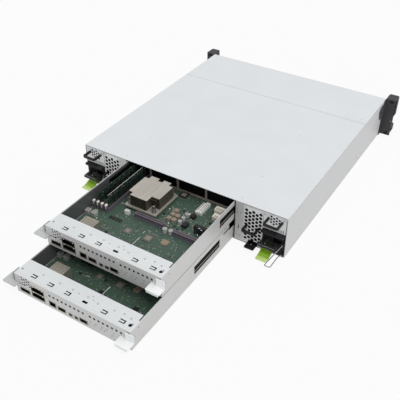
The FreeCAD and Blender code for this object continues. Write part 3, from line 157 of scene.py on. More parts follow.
class FastenerSizes(bpy.types.PropertyGroup):
    """Screws, rivets and the dimples round them."""
    side_screw: length("Side screws", "Radius of the screws in the chassis sides", 1.7)
    tray_screw: length("Tray screws", "Radius of the screws in the trays and boards", 2.2)
    face_screw: length("Face screws", "Radius of the screws in the rear faces", 1.5)
    rivet: length("Rivets", "Radius of the rivets in the top plates and tray walls", 1.1)
    dimple: length("Dimples", "Radius of the pressed ring round a rivet", 1.5)
    # sets the length of the painted-shade bars that stand for a screw's cross recess
    recess: share("Recess", "Length of a cross recess over the width of its screw", 0.5)


class StudioSettings(bpy.types.PropertyGroup):
    """Lamps, floor and camera."""
    key: bpy.props.FloatProperty(name="Key lamp", description="Strength of the sun from the left",
                                 default=1.25, min=0)
    top: bpy.props.FloatProperty(name="Top lamp", description="Strength of the wide sun overhead",
                                 default=0.3, min=0)
    ambient: bpy.props.FloatProperty(name="Ambient", description="Strength of the even light",
                                     default=0.6, min=0)
    floor: colour("Floor", "The floor as it lights the object", 219, 219, 219)
    backdrop: share("Backdrop", "How white the floor is to the camera and in reflections", 0.9)
    lens: bpy.props.FloatProperty(name="Lens", description="Focal length of the camera", default=55.45, min=1,
                                  unit="CAMERA")
    azimuth: bpy.props.FloatProperty(name="Azimuth", description="Turn of the camera about the object",
                                     default=math.radians(-32.12), subtype="ANGLE")
    elevation: bpy.props.FloatProperty(name="Elevation", description="Height of the camera over the horizon",
                                       default=math.radians(37.91), subtype="ANGLE")
    distance: length("Distance", "From the camera to the point that it looks at", 1420.8)


class ServerSettings(bpy.types.PropertyGroup):
    """Everything a user may change, by group."""
    steel: bpy.props.PointerProperty(name="Metal", description="Metal colours", type=SteelColours)
    plastic: bpy.props.PointerProperty(name="Plastic", description="Plastic colours", type=PlasticColours)
    board: bpy.props.PointerProperty(name="Boards", description="Circuit boards", type=BoardColours)
    fastener: bpy.props.PointerProperty(name="Fasteners", description="Screw and rivet sizes",
                                        type=FastenerSizes)
    studio: bpy.props.PointerProperty(name="Studio", description="Lamps and camera", type=StudioSettings)


def settings():
    return bpy.context.scene.rack_server


# ---------------------------------------------------------------- shader groups


def new_group(name, inputs, outputs):
    group = bpy.data.node_groups.new(name, "ShaderNodeTree")
    for title, kind, value in inputs:
        item = group.interface.new_socket(title, in_out="INPUT", socket_type=kind)
        item.default_value = value
    for title, kind in outputs:
        group.interface.new_socket(title, in_out="OUTPUT", socket_type=kind)
    return group, group.nodes.new("NodeGroupInput"), group.nodes.new("NodeGroupOutput")


def link(tree, source, target):
    tree.links.new(source, target)


def math_node(tree, operation, *values, clamp=False):
    node = tree.nodes.new("ShaderNodeMath")
    node.operation = operation
    node.use_clamp = clamp
    for socket, value in zip(node.inputs, values):
        if isinstance(value, (int, float)):
            socket.default_value = value
        else:
            link(tree, value, socket)
    return node.outputs[0]


def mix_colour(tree, factor, first, second):
    node = tree.nodes.new("ShaderNodeMix")
    node.data_type = "RGBA"
    for socket, value in ((node.inputs[0], factor), (node.inputs[6], first), (node.inputs[7], second)):
        if isinstance(value, (int, float, tuple)):
            socket.default_value = value
        else:
            link(tree, value, socket)
    return node.outputs[2]


def grain_group():
    """Fine grain with soft, wide patches: colour, roughness and height from one noise field."""
    group, source, sink = new_group(
        "fine_grain",
        [("Color", "NodeSocketColor", (0.5, 0.5, 0.5, 1)), ("Dark", "NodeSocketColor", (0.4, 0.4, 0.4, 1)),
         ("Scale", "NodeSocketFloat", 800.0), ("Stretch", "NodeSocketVector", (1, 1, 1)),
         ("Rough Low", "NodeSocketFloat", 0.3), ("Rough High", "NodeSocketFloat", 0.5)],
        [("Color", "NodeSocketColor"), ("Roughness", "NodeSocketFloat"), ("Height", "NodeSocketFloat")])
    place = group.nodes.new("ShaderNodeTexCoord")
    scaled = group.nodes.new("ShaderNodeVectorMath")
    scaled.operation = "MULTIPLY"
    link(group, place.outputs["Object"], scaled.inputs[0])
    link(group, source.outputs["Stretch"], scaled.inputs[1])
    fine = group.nodes.new("ShaderNodeTexNoise")
    fine.inputs["Detail"].default_value = 3
    link(group, scaled.outputs[0], fine.inputs["Vector"])
    link(group, source.outputs["Scale"], fine.inputs["Scale"])
    wide = group.nodes.new("ShaderNodeTexNoise")
    wide.inputs["Scale"].default_value = 14
    wide.inputs["Detail"].default_value = 2
    link(group, place.outputs["Object"], wide.inputs["Vector"])
    fine_part = math_node(group, "MULTIPLY", fine.outputs["Fac"], 0.55)
    both = math_node(group, "MULTIPLY_ADD", wide.outputs["Fac"], 0.45, fine_part)
    spread = group.nodes.new("ShaderNodeMapRange")
    spread.inputs["From Min"].default_value = 0.3
    spread.inputs["From Max"].default_value = 0.7
    link(group, both, spread.inputs["Value"])
    tint = mix_colour(group, spread.outputs[0], source.outputs["Dark"], source.outputs["Color"])
    link(group, tint, sink.inputs["Color"])
    rough = group.nodes.new("ShaderNodeMapRange")
    link(group, both, rough.inputs["Value"])
    link(group, source.outputs["Rough Low"], rough.inputs["To Min"])
    link(group, source.outputs["Rough High"], rough.inputs["To Max"])
    link(group, rough.outputs[0], sink.inputs["Roughness"])
    link(group, fine.outputs["Fac"], sink.inputs["Height"])


def zone_group():
    """1 inside a box of the object's own space, 0 outside it."""
    group, source, sink = new_group(
        "zone", [("Low", "NodeSocketVector", (0, 0, 0)), ("High", "NodeSocketVector", (0, 0, 0))],
        [("Inside", "NodeSocketFloat")])
    place = group.nodes.new("ShaderNodeTexCoord")
    here = group.nodes.new("ShaderNodeSeparateXYZ")
    link(group, place.outputs["Object"], here.inputs[0])
    total = 1.0
    for title, operation in (("Low", "GREATER_THAN"), ("High", "LESS_THAN")):
        limit = group.nodes.new("ShaderNodeSeparateXYZ")
        link(group, source.outputs[title], limit.inputs[0])
        for axis in range(3):
            test = math_node(group, operation, here.outputs[axis], limit.outputs[axis])
            total = math_node(group, "MULTIPLY", test, total)
    link(group, total, sink.inputs["Inside"])


def board_group():
    """Solder mask with paler copper runs under it and tiny tinned pads."""
    group, source, sink = new_group(
        "circuit_board",
        [("Mask", "NodeSocketColor", (0.1, 0.2, 0.1, 1)), ("Run", "NodeSocketColor", (0.15, 0.3, 0.15, 1)),
         ("Pad", "NodeSocketColor", (0.6, 0.6, 0.55, 1))],
        [("Color", "NodeSocketColor"), ("Roughness", "NodeSocketFloat"), ("Height", "NodeSocketFloat")])
    place = group.nodes.new("ShaderNodeTexCoord")
    cells = group.nodes.new("ShaderNodeTexVoronoi")
    cells.distance = "MANHATTAN"
    cells.inputs["Scale"].default_value = 110
    link(group, place.outputs["Object"], cells.inputs["Vector"])
    runs = group.nodes.new("ShaderNodeTexWave")
    runs.bands_direction = "DIAGONAL"
    runs.inputs["Scale"].default_value = 260
    runs.inputs["Distortion"].default_value = 0
    link(group, cells.outputs["Position"], runs.inputs["Phase Offset"])
    link(group, place.outputs["Object"], runs.inputs["Vector"])
    copper = group.nodes.new("ShaderNodeMapRange")
    copper.inputs["From Min"].default_value = 0.5
    copper.inputs["From Max"].default_value = 0.8
    link(group, runs.outputs["Fac"], copper.inputs["Value"])
    base = mix_colour(group, copper.outputs[0], source.outputs["Mask"], source.outputs["Run"])
    dots = group.nodes.new("ShaderNodeTexVoronoi")
    dots.inputs["Scale"].default_value = 190
    link(group, place.outputs["Object"], dots.inputs["Vector"])
    pad = math_node(group, "LESS_THAN", dots.outputs["Distance"], 0.16)
    link(group, mix_colour(group, pad, base, source.outputs["Pad"]), sink.inputs["Color"])
    link(group, math_node(group, "MULTIPLY_ADD", pad, -0.2, 0.5), sink.inputs["Roughness"])
    link(group, math_node(group, "ADD", copper.outputs[0], pad), sink.inputs["Height"])


# ---------------------------------------------------------------- materials


def relief(tree, shader, height, strength):
    bump = tree.nodes.new("ShaderNodeBump")
    bump.inputs["Strength"].default_value = strength
    bump.inputs["Distance"].default_value = 0.0001
    link(tree, height, bump.inputs["Height"])
    link(tree, bump.outputs[0], shader.inputs["Normal"])


def finish(name, tint, mottle=0.3, rough=0.4, metal=0.0, scale=900.0, stretch=(1, 1, 1), bump=0.15,
           shine=0.5, coat=0.0, zones=()):
    """A material from the grain group; each zone paints a box of the object another colour."""
    made = bpy.data.materials.new(name)
    made.use_nodes = True
    tree = made.node_tree
    shader = tree.nodes["Principled BSDF"]
    shader.inputs["Metallic"].default_value = metal
    shader.inputs["Coat Weight"].default_value = coat
    shader.inputs["Specular IOR Level"].default_value = shine
    grain = tree.nodes.new("ShaderNodeGroup")
    grain.node_tree = bpy.data.node_groups["fine_grain"]
    grain.inputs["Color"].default_value = tint
    grain.inputs["Dark"].default_value = [level * (1 - mottle) for level in tint[:3]] + [1]
    grain.inputs["Scale"].default_value = scale
    grain.inputs["Stretch"].default_value = stretch
    grain.inputs["Rough Low"].default_value = rough - 0.08
    grain.inputs["Rough High"].default_value = rough + 0.08
    paint = grain.outputs["Color"]
    for low, high, other in zones:
        zone = tree.nodes.new("ShaderNodeGroup")
        zone.node_tree = bpy.data.node_groups["zone"]
        zone.inputs["Low"].default_value = low
        zone.inputs["High"].default_value = high
        paint = mix_colour(tree, zone.outputs[0], paint, tuple(other))
    link(tree, paint, shader.inputs["Base Color"])
    link(tree, grain.outputs["Roughness"], shader.inputs["Roughness"])
    relief(tree, shader, grain.outputs["Height"], bump)
    return made


def board_finish(name, mask, run, pad):
    made = bpy.data.materials.new(name)
    made.use_nodes = True
    tree = made.node_tree
    shader = tree.nodes["Principled BSDF"]
    shader.inputs["Specular IOR Level"].default_value = 0.3
    board = tree.nodes.new("ShaderNodeGroup")
    board.node_tree = bpy.data.node_groups["circuit_board"]
    for title, tint in (("Mask", mask), ("Run", run), ("Pad", pad)):
        board.inputs[title].default_value = tint
    link(tree, board.outputs["Color"], shader.inputs["Base Color"])
    link(tree, board.outputs["Roughness"], shader.inputs["Roughness"])
    relief(tree, shader, board.outputs["Height"], 0.2)


STEEL_LOOKS = {
    "cover_steel": dict(mottle=0.07, rough=0.45, scale=1400, bump=0.08, shine=0.4),
    "chassis_steel": dict(mottle=0.07, rough=0.45, scale=1400, bump=0.08, shine=0.4),
    "plated_steel": dict(mottle=0.22, metal=0.2, scale=700, bump=0.12),
    "tray_steel": dict(mottle=0.12, metal=0.2, scale=500, bump=0.1),
    "plate_steel": dict(mottle=0.09, metal=0.1, scale=260, stretch=(0.1, 1, 1), bump=0.1),
    "case_steel": dict(mottle=0.1, metal=0.1, scale=700, bump=0.12),
    "airflow_steel": dict(mottle=0.2, metal=0.15, scale=700, bump=0.12),
    "fin_aluminium": dict(mottle=0.25, rough=0.36, metal=0.4, scale=300, stretch=(1, 0.05, 1)),
    "port_nickel": dict(mottle=0.25, rough=0.3, metal=0.55, scale=600, bump=0.1),
    "lever_light": dict(mottle=0.08, metal=0.05, bump=0.1),
    "lever_dark": dict(mottle=0.15, metal=0.15, bump=0.1),
    "bright_wire": dict(mottle=0.2, rough=0.25, metal=0.9, bump=0.05),
    "solder": dict(mottle=0.25, rough=0.3, metal=0.7, bump=0.05),
    "brass_pin": dict(mottle=0.25, rough=0.3, metal=0.8, bump=0.05),
}
PLASTIC_LOOKS = {
    "black_plastic": dict(mottle=0.4, rough=0.5, scale=1600, bump=0.25, shine=0.2),
    "handle_black": dict(mottle=0.3, rough=0.35, scale=1600, bump=0.2, shine=0.3),
    "painted_shade": dict(mottle=0.3, rough=0.7, scale=1600, bump=0.1, shine=0.1),
    "slot_plastic": dict(mottle=0.35, rough=0.5, scale=1600, bump=0.2, shine=0.35),
    "dark_plastic": dict(mottle=0.4, rough=0.5, scale=1600, bump=0.2, shine=0.2),
    "grey_plastic": dict(mottle=0.25, rough=0.45, scale=1600, bump=0.2),
    "cream_plastic": dict(mottle=0.1, rough=0.4, scale=1600, bump=0.15),
    "lime_plastic": dict(mottle=0.3, rough=0.35, scale=1200, coat=0.3),
    "lime_edge": dict(mottle=0.15, rough=0.35, scale=1200, coat=0.3),
    "status_green": dict(mottle=0.2, rough=0.3, bump=0.05),
    "status_amber": dict(mottle=0.2, rough=0.3, bump=0.05),
    "chip_black": dict(mottle=0.35, rough=0.5, scale=1800, bump=0.2, shine=0.3),
    "choke_grey": dict(mottle=0.3, rough=0.5, scale=1400, bump=0.3, shine=0.3),
}
NODE_FINISH = {
    "chassis_tray": "chassis_steel", "rear_cover": "cover_steel", "front_cover": "cover_steel",
    "bay_wall_left": "plated_steel", "bay_wall_right": "plated_steel", "power_bay_walls": "plated_steel",
    "midplane": "main_board", "midplane_sockets": "black_plastic", "drive_cage": "plated_steel",
    "rack_ear_left": "black_plastic", "rack_ear_right": "black_plastic", "power_button": "grey_plastic",
    "drive_carriers": "black_plastic", "drive_carrier_last": "black_plastic",
}
MODULE_FINISH = {
    "psu_case": "case_steel", "psu_front": "black_plastic", "psu_handle": "handle_black",
    "psu_latch": "lime_plastic", "psu_bail": "bright_wire", "fan_case": "case_steel",
    "fan_handle": "handle_black", "fan_latch": "handle_black", "fan_rotor_lower": "black_plastic",
    "fan_rotor_upper": "black_plastic",
}
TRAY_FINISH = {
    "tray": "tray_steel", "top_plate": "plate_steel", "mainboard": "main_board", "board_parts": "chip_black",
    "rear_ports": "port_nickel", "port_cage": "port_nickel", "heatsink": "fin_aluminium",
    "memory_sockets": "slot_plastic", "memory_modules": "memory_board", "expansion_slots": "slot_plastic",
    "airflow_frame": "airflow_steel", "lever_left": "lever_light", "lever_right": "lever_dark",
}


def finish_of(node):
    head, _, tail = node.partition("_")
    if head in TRAYS:
        return TRAY_FINISH[tail]
    if head in ("psu", "fan"):
        return MODULE_FINISH[head + "_" + tail.partition("_")[2]]
    return NODE_FINISH[node]


def make_finishes():
    """Every finish by name, from the settings' colours."""
    grain_group()
    zone_group()
    board_group()
    for looks, colours in ((STEEL_LOOKS, settings().steel), (PLASTIC_LOOKS, settings().plastic)):
        for name, look in looks.items():
            finish(name, getattr(colours, name), **look)
    board = settings().board
    board_finish("main_board", board.mask, board.run, board.pad)
    board_finish("memory_board", board.memory_mask, board.memory_run, board.pad)


def give(node, made):
    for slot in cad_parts[node].material_slots:
        slot.material = made


def zoned(node, name, base, zones):
    """A node's own copy of a finish, with some of its boxes painted another colour."""
    looks, colours = (STEEL_LOOKS, settings().steel)
    if base in PLASTIC_LOOKS:
        looks, colours = (PLASTIC_LOOKS, settings().plastic)
    give(node, finish(name, getattr(colours, base), zones=zones, **looks[base]))


# ---------------------------------------------------------------- shapes


class Shapes:
    """Small shapes gathered into one mesh piece, each with its own finish. Millimetres from an origin."""

    def __init__(self, name, body, origin=(0, 0, 0)):
        self.name, self.body, self.origin = name, body, Vector(origin)
        self.bmesh, self.finishes = bmesh.new(), []

    def _index(self, finish_name):
        if finish_name not in self.finishes:
            self.finishes.append(finish_name)
        return self.finishes.index(finish_name)

    def _close(self, made, finish_name):
        index = self._index(finish_name)
        for face in {face for vertex in made for face in vertex.link_faces}:
            face.material_index = index

    def _merge(self, small, finish_name):
        """Copy a small mesh in, so that no tool has to walk the whole piece."""
        index = self._index(finish_name)
        spots = {vertex: self.bmesh.verts.new(vertex.co) for vertex in small.verts}
        for face in small.faces:
            self.bmesh.faces.new([spots[vertex] for vertex in face.verts]).material_index = index
        small.free()

    def block(self, low, high, finish_name, edge=0.0):
        """A block between two corners, its edges broken by a small chamfer."""
        small = bmesh.new()
        made = bmesh.ops.create_cube(small, size=1.0)["verts"]
        low, high = Vector(low), Vector(high)
        bmesh.ops.scale(small, vec=high - low, verts=made)
        bmesh.ops.translate(small, vec=(low + high) / 2, verts=made)
        if edge:
            bmesh.ops.bevel(small, geom=small.edges[:], offset=edge, segments=1, affect="EDGES")
        self._merge(small, finish_name)

    def disc(self, centre, axis, radius, height, finish_name, sides=16, tip=None):
        """A round piece that runs from its foot along an axis; tip sets another radius at its end."""
        small = bmesh.new()
        bmesh.ops.create_cone(small, cap_ends=True, segments=sides, radius1=radius,
                              radius2=radius if tip is None else tip, depth=height)
        turn = Vector(axis).to_track_quat("Z", "Y").to_matrix().to_4x4()
        move = Matrix.Translation(Vector(centre)) @ turn @ Matrix.Translation((0, 0, height / 2))
        bmesh.ops.transform(small, matrix=move, verts=small.verts)
        self._merge(small, finish_name)

    def ring(self, centre, axis, radius, thick, finish_name, sides=24):
        """A round bead, for springs' turns, rims and washers."""
        turn = Vector(axis).to_track_quat("Z", "Y").to_matrix()
        loops = []
        for i in range(sides):
            around = math.tau * i / sides
            out = Vector((math.cos(around), math.sin(around), 0))
            loop = []
            for j in range(6):
                roll = math.tau * j / 6
                spot = out * (radius + thick * math.cos(roll)) + Vector((0, 0, thick * math.sin(roll)))
                loop.append(self.bmesh.verts.new(Vector(centre) + turn @ spot))
            loops.append(loop)
        for i in range(sides):
            near, far = loops[i], loops[(i + 1) % sides]
            for j in range(6):
                k = (j + 1) % 6
                self.bmesh.faces.new((near[j], far[j], far[k], near[k]))
        self._close([vertex for loop in loops for vertex in loop], finish_name)

    def sheet(self, outline, axis, thick, finish_name):
        """A flat plate: its outline's corners, and its thickness along an axis."""
        foot = [self.bmesh.verts.new(spot) for spot in outline]
        top = [self.bmesh.verts.new(Vector(spot) + Vector(axis) * thick) for spot in outline]
        self.bmesh.faces.new(foot)
        self.bmesh.faces.new(reversed(top))
        for i in range(len(foot)):
            j = (i + 1) % len(foot)
            self.bmesh.faces.new((foot[i], top[i], top[j], foot[j]))
        self._close(foot + top, finish_name)

    def screw(self, centre, axis, radius, finish_name="solder"):
        """A domed head with a cross recess drawn as two bars of painted shade."""
        centre, axis = Vector(centre), Vector(axis)
        self.disc(centre, axis, radius, radius * 0.45, finish_name, 16, radius * 0.8)
        side = axis.orthogonal().normalized()
        reach = radius * settings().fastener.recess
        for bar in (side, axis.cross(side)):
            other = axis.cross(bar)
            middle = centre + axis * radius * 0.43
            step = bar * reach + other * radius * 0.1 + axis * radius * 0.04
            corners = [middle - step, middle + step]
            low = [min(pair) for pair in zip(*corners)]
            high = [max(pair) for pair in zip(*corners)]
            # painted shade in the cross recess
            self.block(low, high, "chip_black")

    def done(self):
        mesh = bpy.data.meshes.new(self.name)
        bmesh.ops.scale(self.bmesh, vec=(MM, MM, MM), verts=self.bmesh.verts)
        bmesh.ops.translate(self.bmesh, vec=self.origin, verts=self.bmesh.verts)
        bmesh.ops.recalc_face_normals(self.bmesh, faces=self.bmesh.faces)
        self.bmesh.to_mesh(mesh)
        self.bmesh.free()
        for finish_name in self.finishes:
            mesh.materials.append(bpy.data.materials[finish_name])
        piece = bpy.data.objects.new(self.name, mesh)
        bpy.context.scene.collection.objects.link(piece)
        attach(piece, self.body)
        return piece


# ---------------------------------------------------------------- places in the frame


def tray_origin(tray):
    """The middle of the bottom edge of a tray's rear face."""
    low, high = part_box(tray + "_tray")
    return Vector((0, high.y, low.z))


def solids_of(node, origin):
    """The box of each separate solid in a node, in millimetres from an origin."""
    solid = bmesh.new()
    solid.from_mesh(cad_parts[node].data)
    bmesh.ops.remove_doubles(solid, verts=solid.verts, dist=1e-6)
    left, boxes = set(solid.verts), []
    while left:
        reached, edge = set(), [next(iter(left))]
        while edge:
            vertex = edge.pop()
            if vertex in reached:
                continue
            reached.add(vertex)
            edge += [line.other_vert(vertex) for line in vertex.link_edges]
        left -= reached
        spots = [(vertex.co - origin) / MM for vertex in reached]
        low = Vector([min(spot[axis] for spot in spots) for axis in range(3)])
        high = Vector([max(spot[axis] for spot in spots) for axis in range(3)])
        boxes.append((low, high))
    solid.free()
    return sorted(boxes, key=lambda pair: tuple(pair[0]))


# millimetres: across from the tray's middle, back from its rear face, up from its underside
BOARD_TOP = 4.5
TRAY_HALF = 116.5
TRAY_TOP = 40.5
FILLER_FOOT = -0.9
HOLE_LEVEL = 28
HOLE_PITCH = 8.47
HOLE_RADIUS = 2.5
MESH_RADIUS = 2.15
LANCES = (82.5, 47.5, 12.5, -59.5, -93.6)
LANCE_SLOTS = ((-5.6, -14.5, 5.4, -12.9), (-5.6, -14.5, -3.6, -7.6), (-5.6, -8.4, 5.2, -7.6))
PLATE_RIVETS = (
    (72, -21), (37, -21), (10.5, -21.5), (-20, -21.5), (-71, -21.5), (-102, -22), (-88, -24), (-41, -19),
)
BOARD_SCREWS = ((-102, -12), (-102, -236), (-104, -330), (20, -268), (104, -276), (104, -330), (-40, -300))
MESH = dict(columns=3, rows=3, left=85.5, low=23.5, pitch=5.2, rise=5.72)

# millimetres from the lower left corner of a module's rear face
POWER_VENTS = dict(columns=4, rows=3, left=12.6, low=63.5, pitch=5.2, rise=5.98)
FAN_VENTS = dict(columns=5, rows=9, left=4.6, low=10.6, pitch=6.9, rise=7.8, short=1)
INLET_RIM = (
    (3.2, 24.2, 21.8, 25.0), (3.2, 43.5, 21.8, 44.2), (3.2, 24.2, 4.0, 44.2), (21.0, 24.2, 21.8, 44.2),
)
VENT_FOOT = -0.7
VENT_FILL = 0.74

# millimetres in the chassis: along and up for the side screws, across and up for the rack slots
SIDE_SCREWS = ((-193, 18.6), (-95, 21.4), (187, 22.2), (227, 70))
RACK_SLOT_PLACE = 232.55
RACK_SLOT_LEVELS = (5.4, 81.6)

# board components by width, depth and height: what each is, and its colour where it isn't black
KINDS = {
    (12, 12, 1.4): ("chip", shade(148, 130, 110)), (18, 18, 2.0): ("chip", shade(88, 96, 88)),
    (14, 14, 1.6): ("chip", shade(92, 106, 96)), (16, 16, 2.0): ("chip", None), (10, 10, 1.2): ("chip", None),
    (9, 9, 1.2): ("chip", None), (5, 7, 1.4): ("small_chip", None),
    (8, 8, 6.5): ("choke", shade(150, 138, 124)),
    (9, 9, 8.0): ("choke", shade(170, 170, 168)), (8, 33, 6.5): ("header", shade(228, 228, 224)),
    (9, 6, 8.0): ("connector", shade(230, 230, 226)), (16, 8, 11.0): ("connector", shade(222, 213, 202)),
    (14, 7, 8.0): ("connector", shade(222, 213, 202)), (24, 7, 17.0): ("cell_holder", None),
}


def components(tray):
    """Kind, colour, low corner and high corner of each component on a tray's board."""
    found = []
    for low, high in solids_of(tray + "_board_parts", tray_origin(tray)):
        size = high - low
        kind, tint = KINDS.get((round(size.x), round(size.y), round(size.z, 1)), ("other", None))
        if kind == "other" and abs(size.x - size.y) < 0.5 and 7 < size.x < 9 and size.z > 6.9:
            kind, tint = "can", shade(178, 178, 176)
        found.append((kind, tint, low, high))
    return found


def keep_clear(tray):
    """Boxes on a board where no loose part may stand."""
    origin = tray_origin(tray)
    taken = [(low, high) for _, _, low, high in components(tray)]
    for node in ("heatsink", "memory_sockets", "expansion_slots", "rear_ports", "port_cage", "airflow_frame"):
        low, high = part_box(f"{tray}_{node}")
        if node in ("heatsink", "memory_sockets"):
            taken.append(((low - origin) / MM, (high - origin) / MM))
        else:
            taken += solids_of(f"{tray}_{node}", origin)
    return taken


def staggered(columns, rows, left, low, pitch, rise, short=0):
    """The middles of a field of holes; odd columns stand half a step higher and may have fewer rows."""
    return [(left + column * pitch, low + (row + (column % 2) / 2) * rise)
            for column in range(columns) for row in range(rows - short * (column % 2))]


def grown(low, high, by):
    """A box's two corners moved outwards by one distance."""
    step = Vector((by, by, by))
    return low - step, high + step


def is_free(taken, x0, y0, x1, y1, gap):
    return not any(low[0] - gap < x1 and x0 < high[0] + gap and low[1] - gap < y1 and y0 < high[1] + gap
                   for low, high in taken)


def pins(parts, low, high, pitch, both=True):
    """A chip's tinned legs along its sides, at the board's surface."""
    for axis in ((0, 1) if both else (1,)):
        other = 1 - axis
        for step in range(int((high[axis] - low[axis] - 0.8) / pitch)):
            start = low[axis] + 0.8 + step * pitch
            for near, far in ((low[other] - 1.1, low[other]), (high[other], high[other] + 1.1)):
                spot, reach = [0, 0, BOARD_TOP], [0, 0, BOARD_TOP + 0.35]
                spot[axis], reach[axis] = start, start + pitch * 0.45
                spot[other], reach[other] = near, far
                parts.block(spot, reach, "solder")


# ---------------------------------------------------------------- node trays


def small_parts(tray):
    """Chip resistors and capacitors in short rows over the free board, and a crowd of them by the chokes."""
    draw = random.Random(11 if tray == "upper" else 23)
    parts = Shapes(tray + "_small_parts", tray + "_tray", tray_origin(tray))
    taken = keep_clear(tray)
    tones = ("choke_grey", "chip_black", "cream_plastic", "choke_grey", "brass_pin", "choke_grey")
    for _ in range(settings().board.rows):
        x, y = draw.uniform(-110, 108), draw.uniform(-335, -8)
        along = draw.random() < 0.5
        long, wide = draw.choice(((1.7, 0.9), (2.2, 1.3), (1.2, 0.7)))
        tone, count = draw.choice(tones), draw.randint(2, 5)
        step = wide * 1.9
        dx, dy = (wide, long) if along else (long, wide)
        right, back = (x + count * step, y + dy) if along else (x + dx, y + count * step)
        if right > 112 or back > -4 or not is_free(taken, x, y, right, back, 1.6):
            continue
        for index in range(count):
            a, b = (x + index * step, y) if along else (x, y + index * step)
            parts.block((a, b, BOARD_TOP), (a + dx, b + dy, BOARD_TOP + 0.7), tone)
            for low, high in ((((a, b), (a + dx, b + 0.3)), ((a, b + dy - 0.3), (a + dx, b + dy))) if along
                              else (((a, b), (a + 0.3, b + dy)), ((a + dx - 0.3, b), (a + dx, b + dy)))):
                parts.block((*low, BOARD_TOP), (*high, BOARD_TOP + 0.74), "solder")
        taken.append(((x, y), (right, back)))
    for _ in range(settings().board.cluster):
        x, y = draw.uniform(-62, -8), draw.uniform(-194, -140)
        wide, deep, tall = draw.choice(((3.2, 2.4, 1.6), (2.6, 4.2, 2.0), (4.6, 3.2, 2.6), (2.2, 2.2, 1.2)))
        tone = draw.choice(("cream_plastic", "choke_grey", "choke_grey", "chip_black", "solder"))
        if is_free(taken, x, y, x + wide, y + deep, 0.7):
            parts.block((x, y, BOARD_TOP), (x + wide, y + deep, BOARD_TOP + tall), tone, 0.2)
            taken.append(((x, y), (x + wide, y + deep)))
    for _ in range(60):
        x, y = draw.uniform(-106, 100), draw.uniform(-330, -40)
        wide, deep = draw.choice(((5, 4), (4, 4), (6, 4)))
        if is_free(taken, x - 1.2, y - 1.2, x + wide + 1.2, y + deep + 1.2, 0.6):
            low, high = (x, y, BOARD_TOP), (x + wide, y + deep, BOARD_TOP + 1.3)
            parts.block(low, high, "chip_black", 0.15)
            pins(parts, low, high, 1.0, both=False)
            taken.append(((x - 1.2, y - 1.2), (x + wide + 1.2, y + deep + 1.2)))
    parts.done()


def board_detail(tray):
    """Legs, pins, terminals and tops on the board's components, and the coin cell in its holder."""
    origin = tray_origin(tray)
    parts = Shapes(tray + "_board_detail", tray + "_tray", origin)
    zones = []
    for kind, tint, low, high in components(tray):
        if tint:
            near, far = grown(low, high, 0.1)
            zones.append((origin + near * MM, origin + far * MM, tint))
        middle, top = (low + high) / 2, high.z
        if kind == "chip":
            pins(parts, low, high, 1.6)
            parts.disc((low.x + 1.6, high.y - 1.6, top), (0, 0, 1), 0.5, 0.05, "grey_plastic", 10)
            inner = (high.x - low.x) * 0.3
            if inner > 4:
                parts.block((middle.x - inner, middle.y - inner, top),
                            (middle.x + inner, middle.y + inner, top + 0.25), "choke_grey", 0.1)
        elif kind == "small_chip":
            pins(parts, low, high, 1.0, both=False)
        elif kind == "choke":
            for side in (low.y - 0.5, high.y):
                parts.block((middle.x - 2.4, side, BOARD_TOP),
                            (middle.x + 2.4, side + 0.5, BOARD_TOP + 1.6), "solder")
            parts.disc((middle.x, middle.y, top), (0, 0, 1), 2.6, 0.2, "choke_grey", 20, 2.3)
        elif kind == "can":
            parts.disc((middle.x, middle.y, top), (0, 0, 1), (high.x - low.x) / 2 - 0.4, 0.1, "solder", 20)
            parts.block((middle.x - 0.15, low.y + 1, top + 0.1),
                        (middle.x + 0.15, high.y - 1, top + 0.16), "chip_black")
        elif kind == "header":
            parts.block((high.x, low.y + 3, BOARD_TOP), (high.x + 5.4, high.y, top - 0.4),
                        "cream_plastic", 0.3)
            for x in (low.x + 1.7, low.x + 5.4, high.x + 2.4):
                parts.block((x, low.y + 4, top - 0.3), (x + 0.9, high.y - 2, top + 0.08), "chip_black")
                for step in range(12):
                    spot = low.y + 5 + step * 2.1
                    parts.block((x + 0.2, spot, top), (x + 0.7, spot + 0.6, top + 0.5), "brass_pin")
        elif kind == "connector":
            for step in range(int((high.x - low.x - 2) / 2.2)):
                x = low.x + 1.4 + step * 2.2
                parts.block((x, middle.y - 1.8, top - 0.2), (x + 0.8, middle.y + 1.8, top + 0.3), "brass_pin")
            if high.x - low.x > 12:
                parts.block((low.x - 1.5, low.y - 5.6, BOARD_TOP), (high.x + 1.5, low.y - 0.1, top - 1.2),
                            "cream_plastic", 0.5)
        elif kind == "cell_holder":
            face = high.y
            parts.disc((middle.x, face, top - 8.6), (0, 1, 0), 8.4, 1.4, "chip_black", 32)
            parts.ring((middle.x, face + 1.4, top - 8.6), (0, 1, 0), 8.0, 0.35, "bright_wire", 32)
            parts.disc((middle.x, face + 1.4, top - 8.6), (0, 1, 0), 5.6, 0.3, "dark_plastic", 28)
            parts.block((middle.x - 2, face + 0.4, top - 0.4), (middle.x + 2, face + 2.4, top + 0.8),
                        "solder", 0.3)
    for x, y in BOARD_SCREWS:
        parts.ring((x, y, BOARD_TOP), (0, 0, 1), 2.6, 0.25, "solder")
        parts.screw((x, y, BOARD_TOP), (0, 0, 1), settings().fastener.tray_screw / MM)
    parts.done()
    zoned(tray + "_board_parts", tray + "_components", "chip_black", zones)


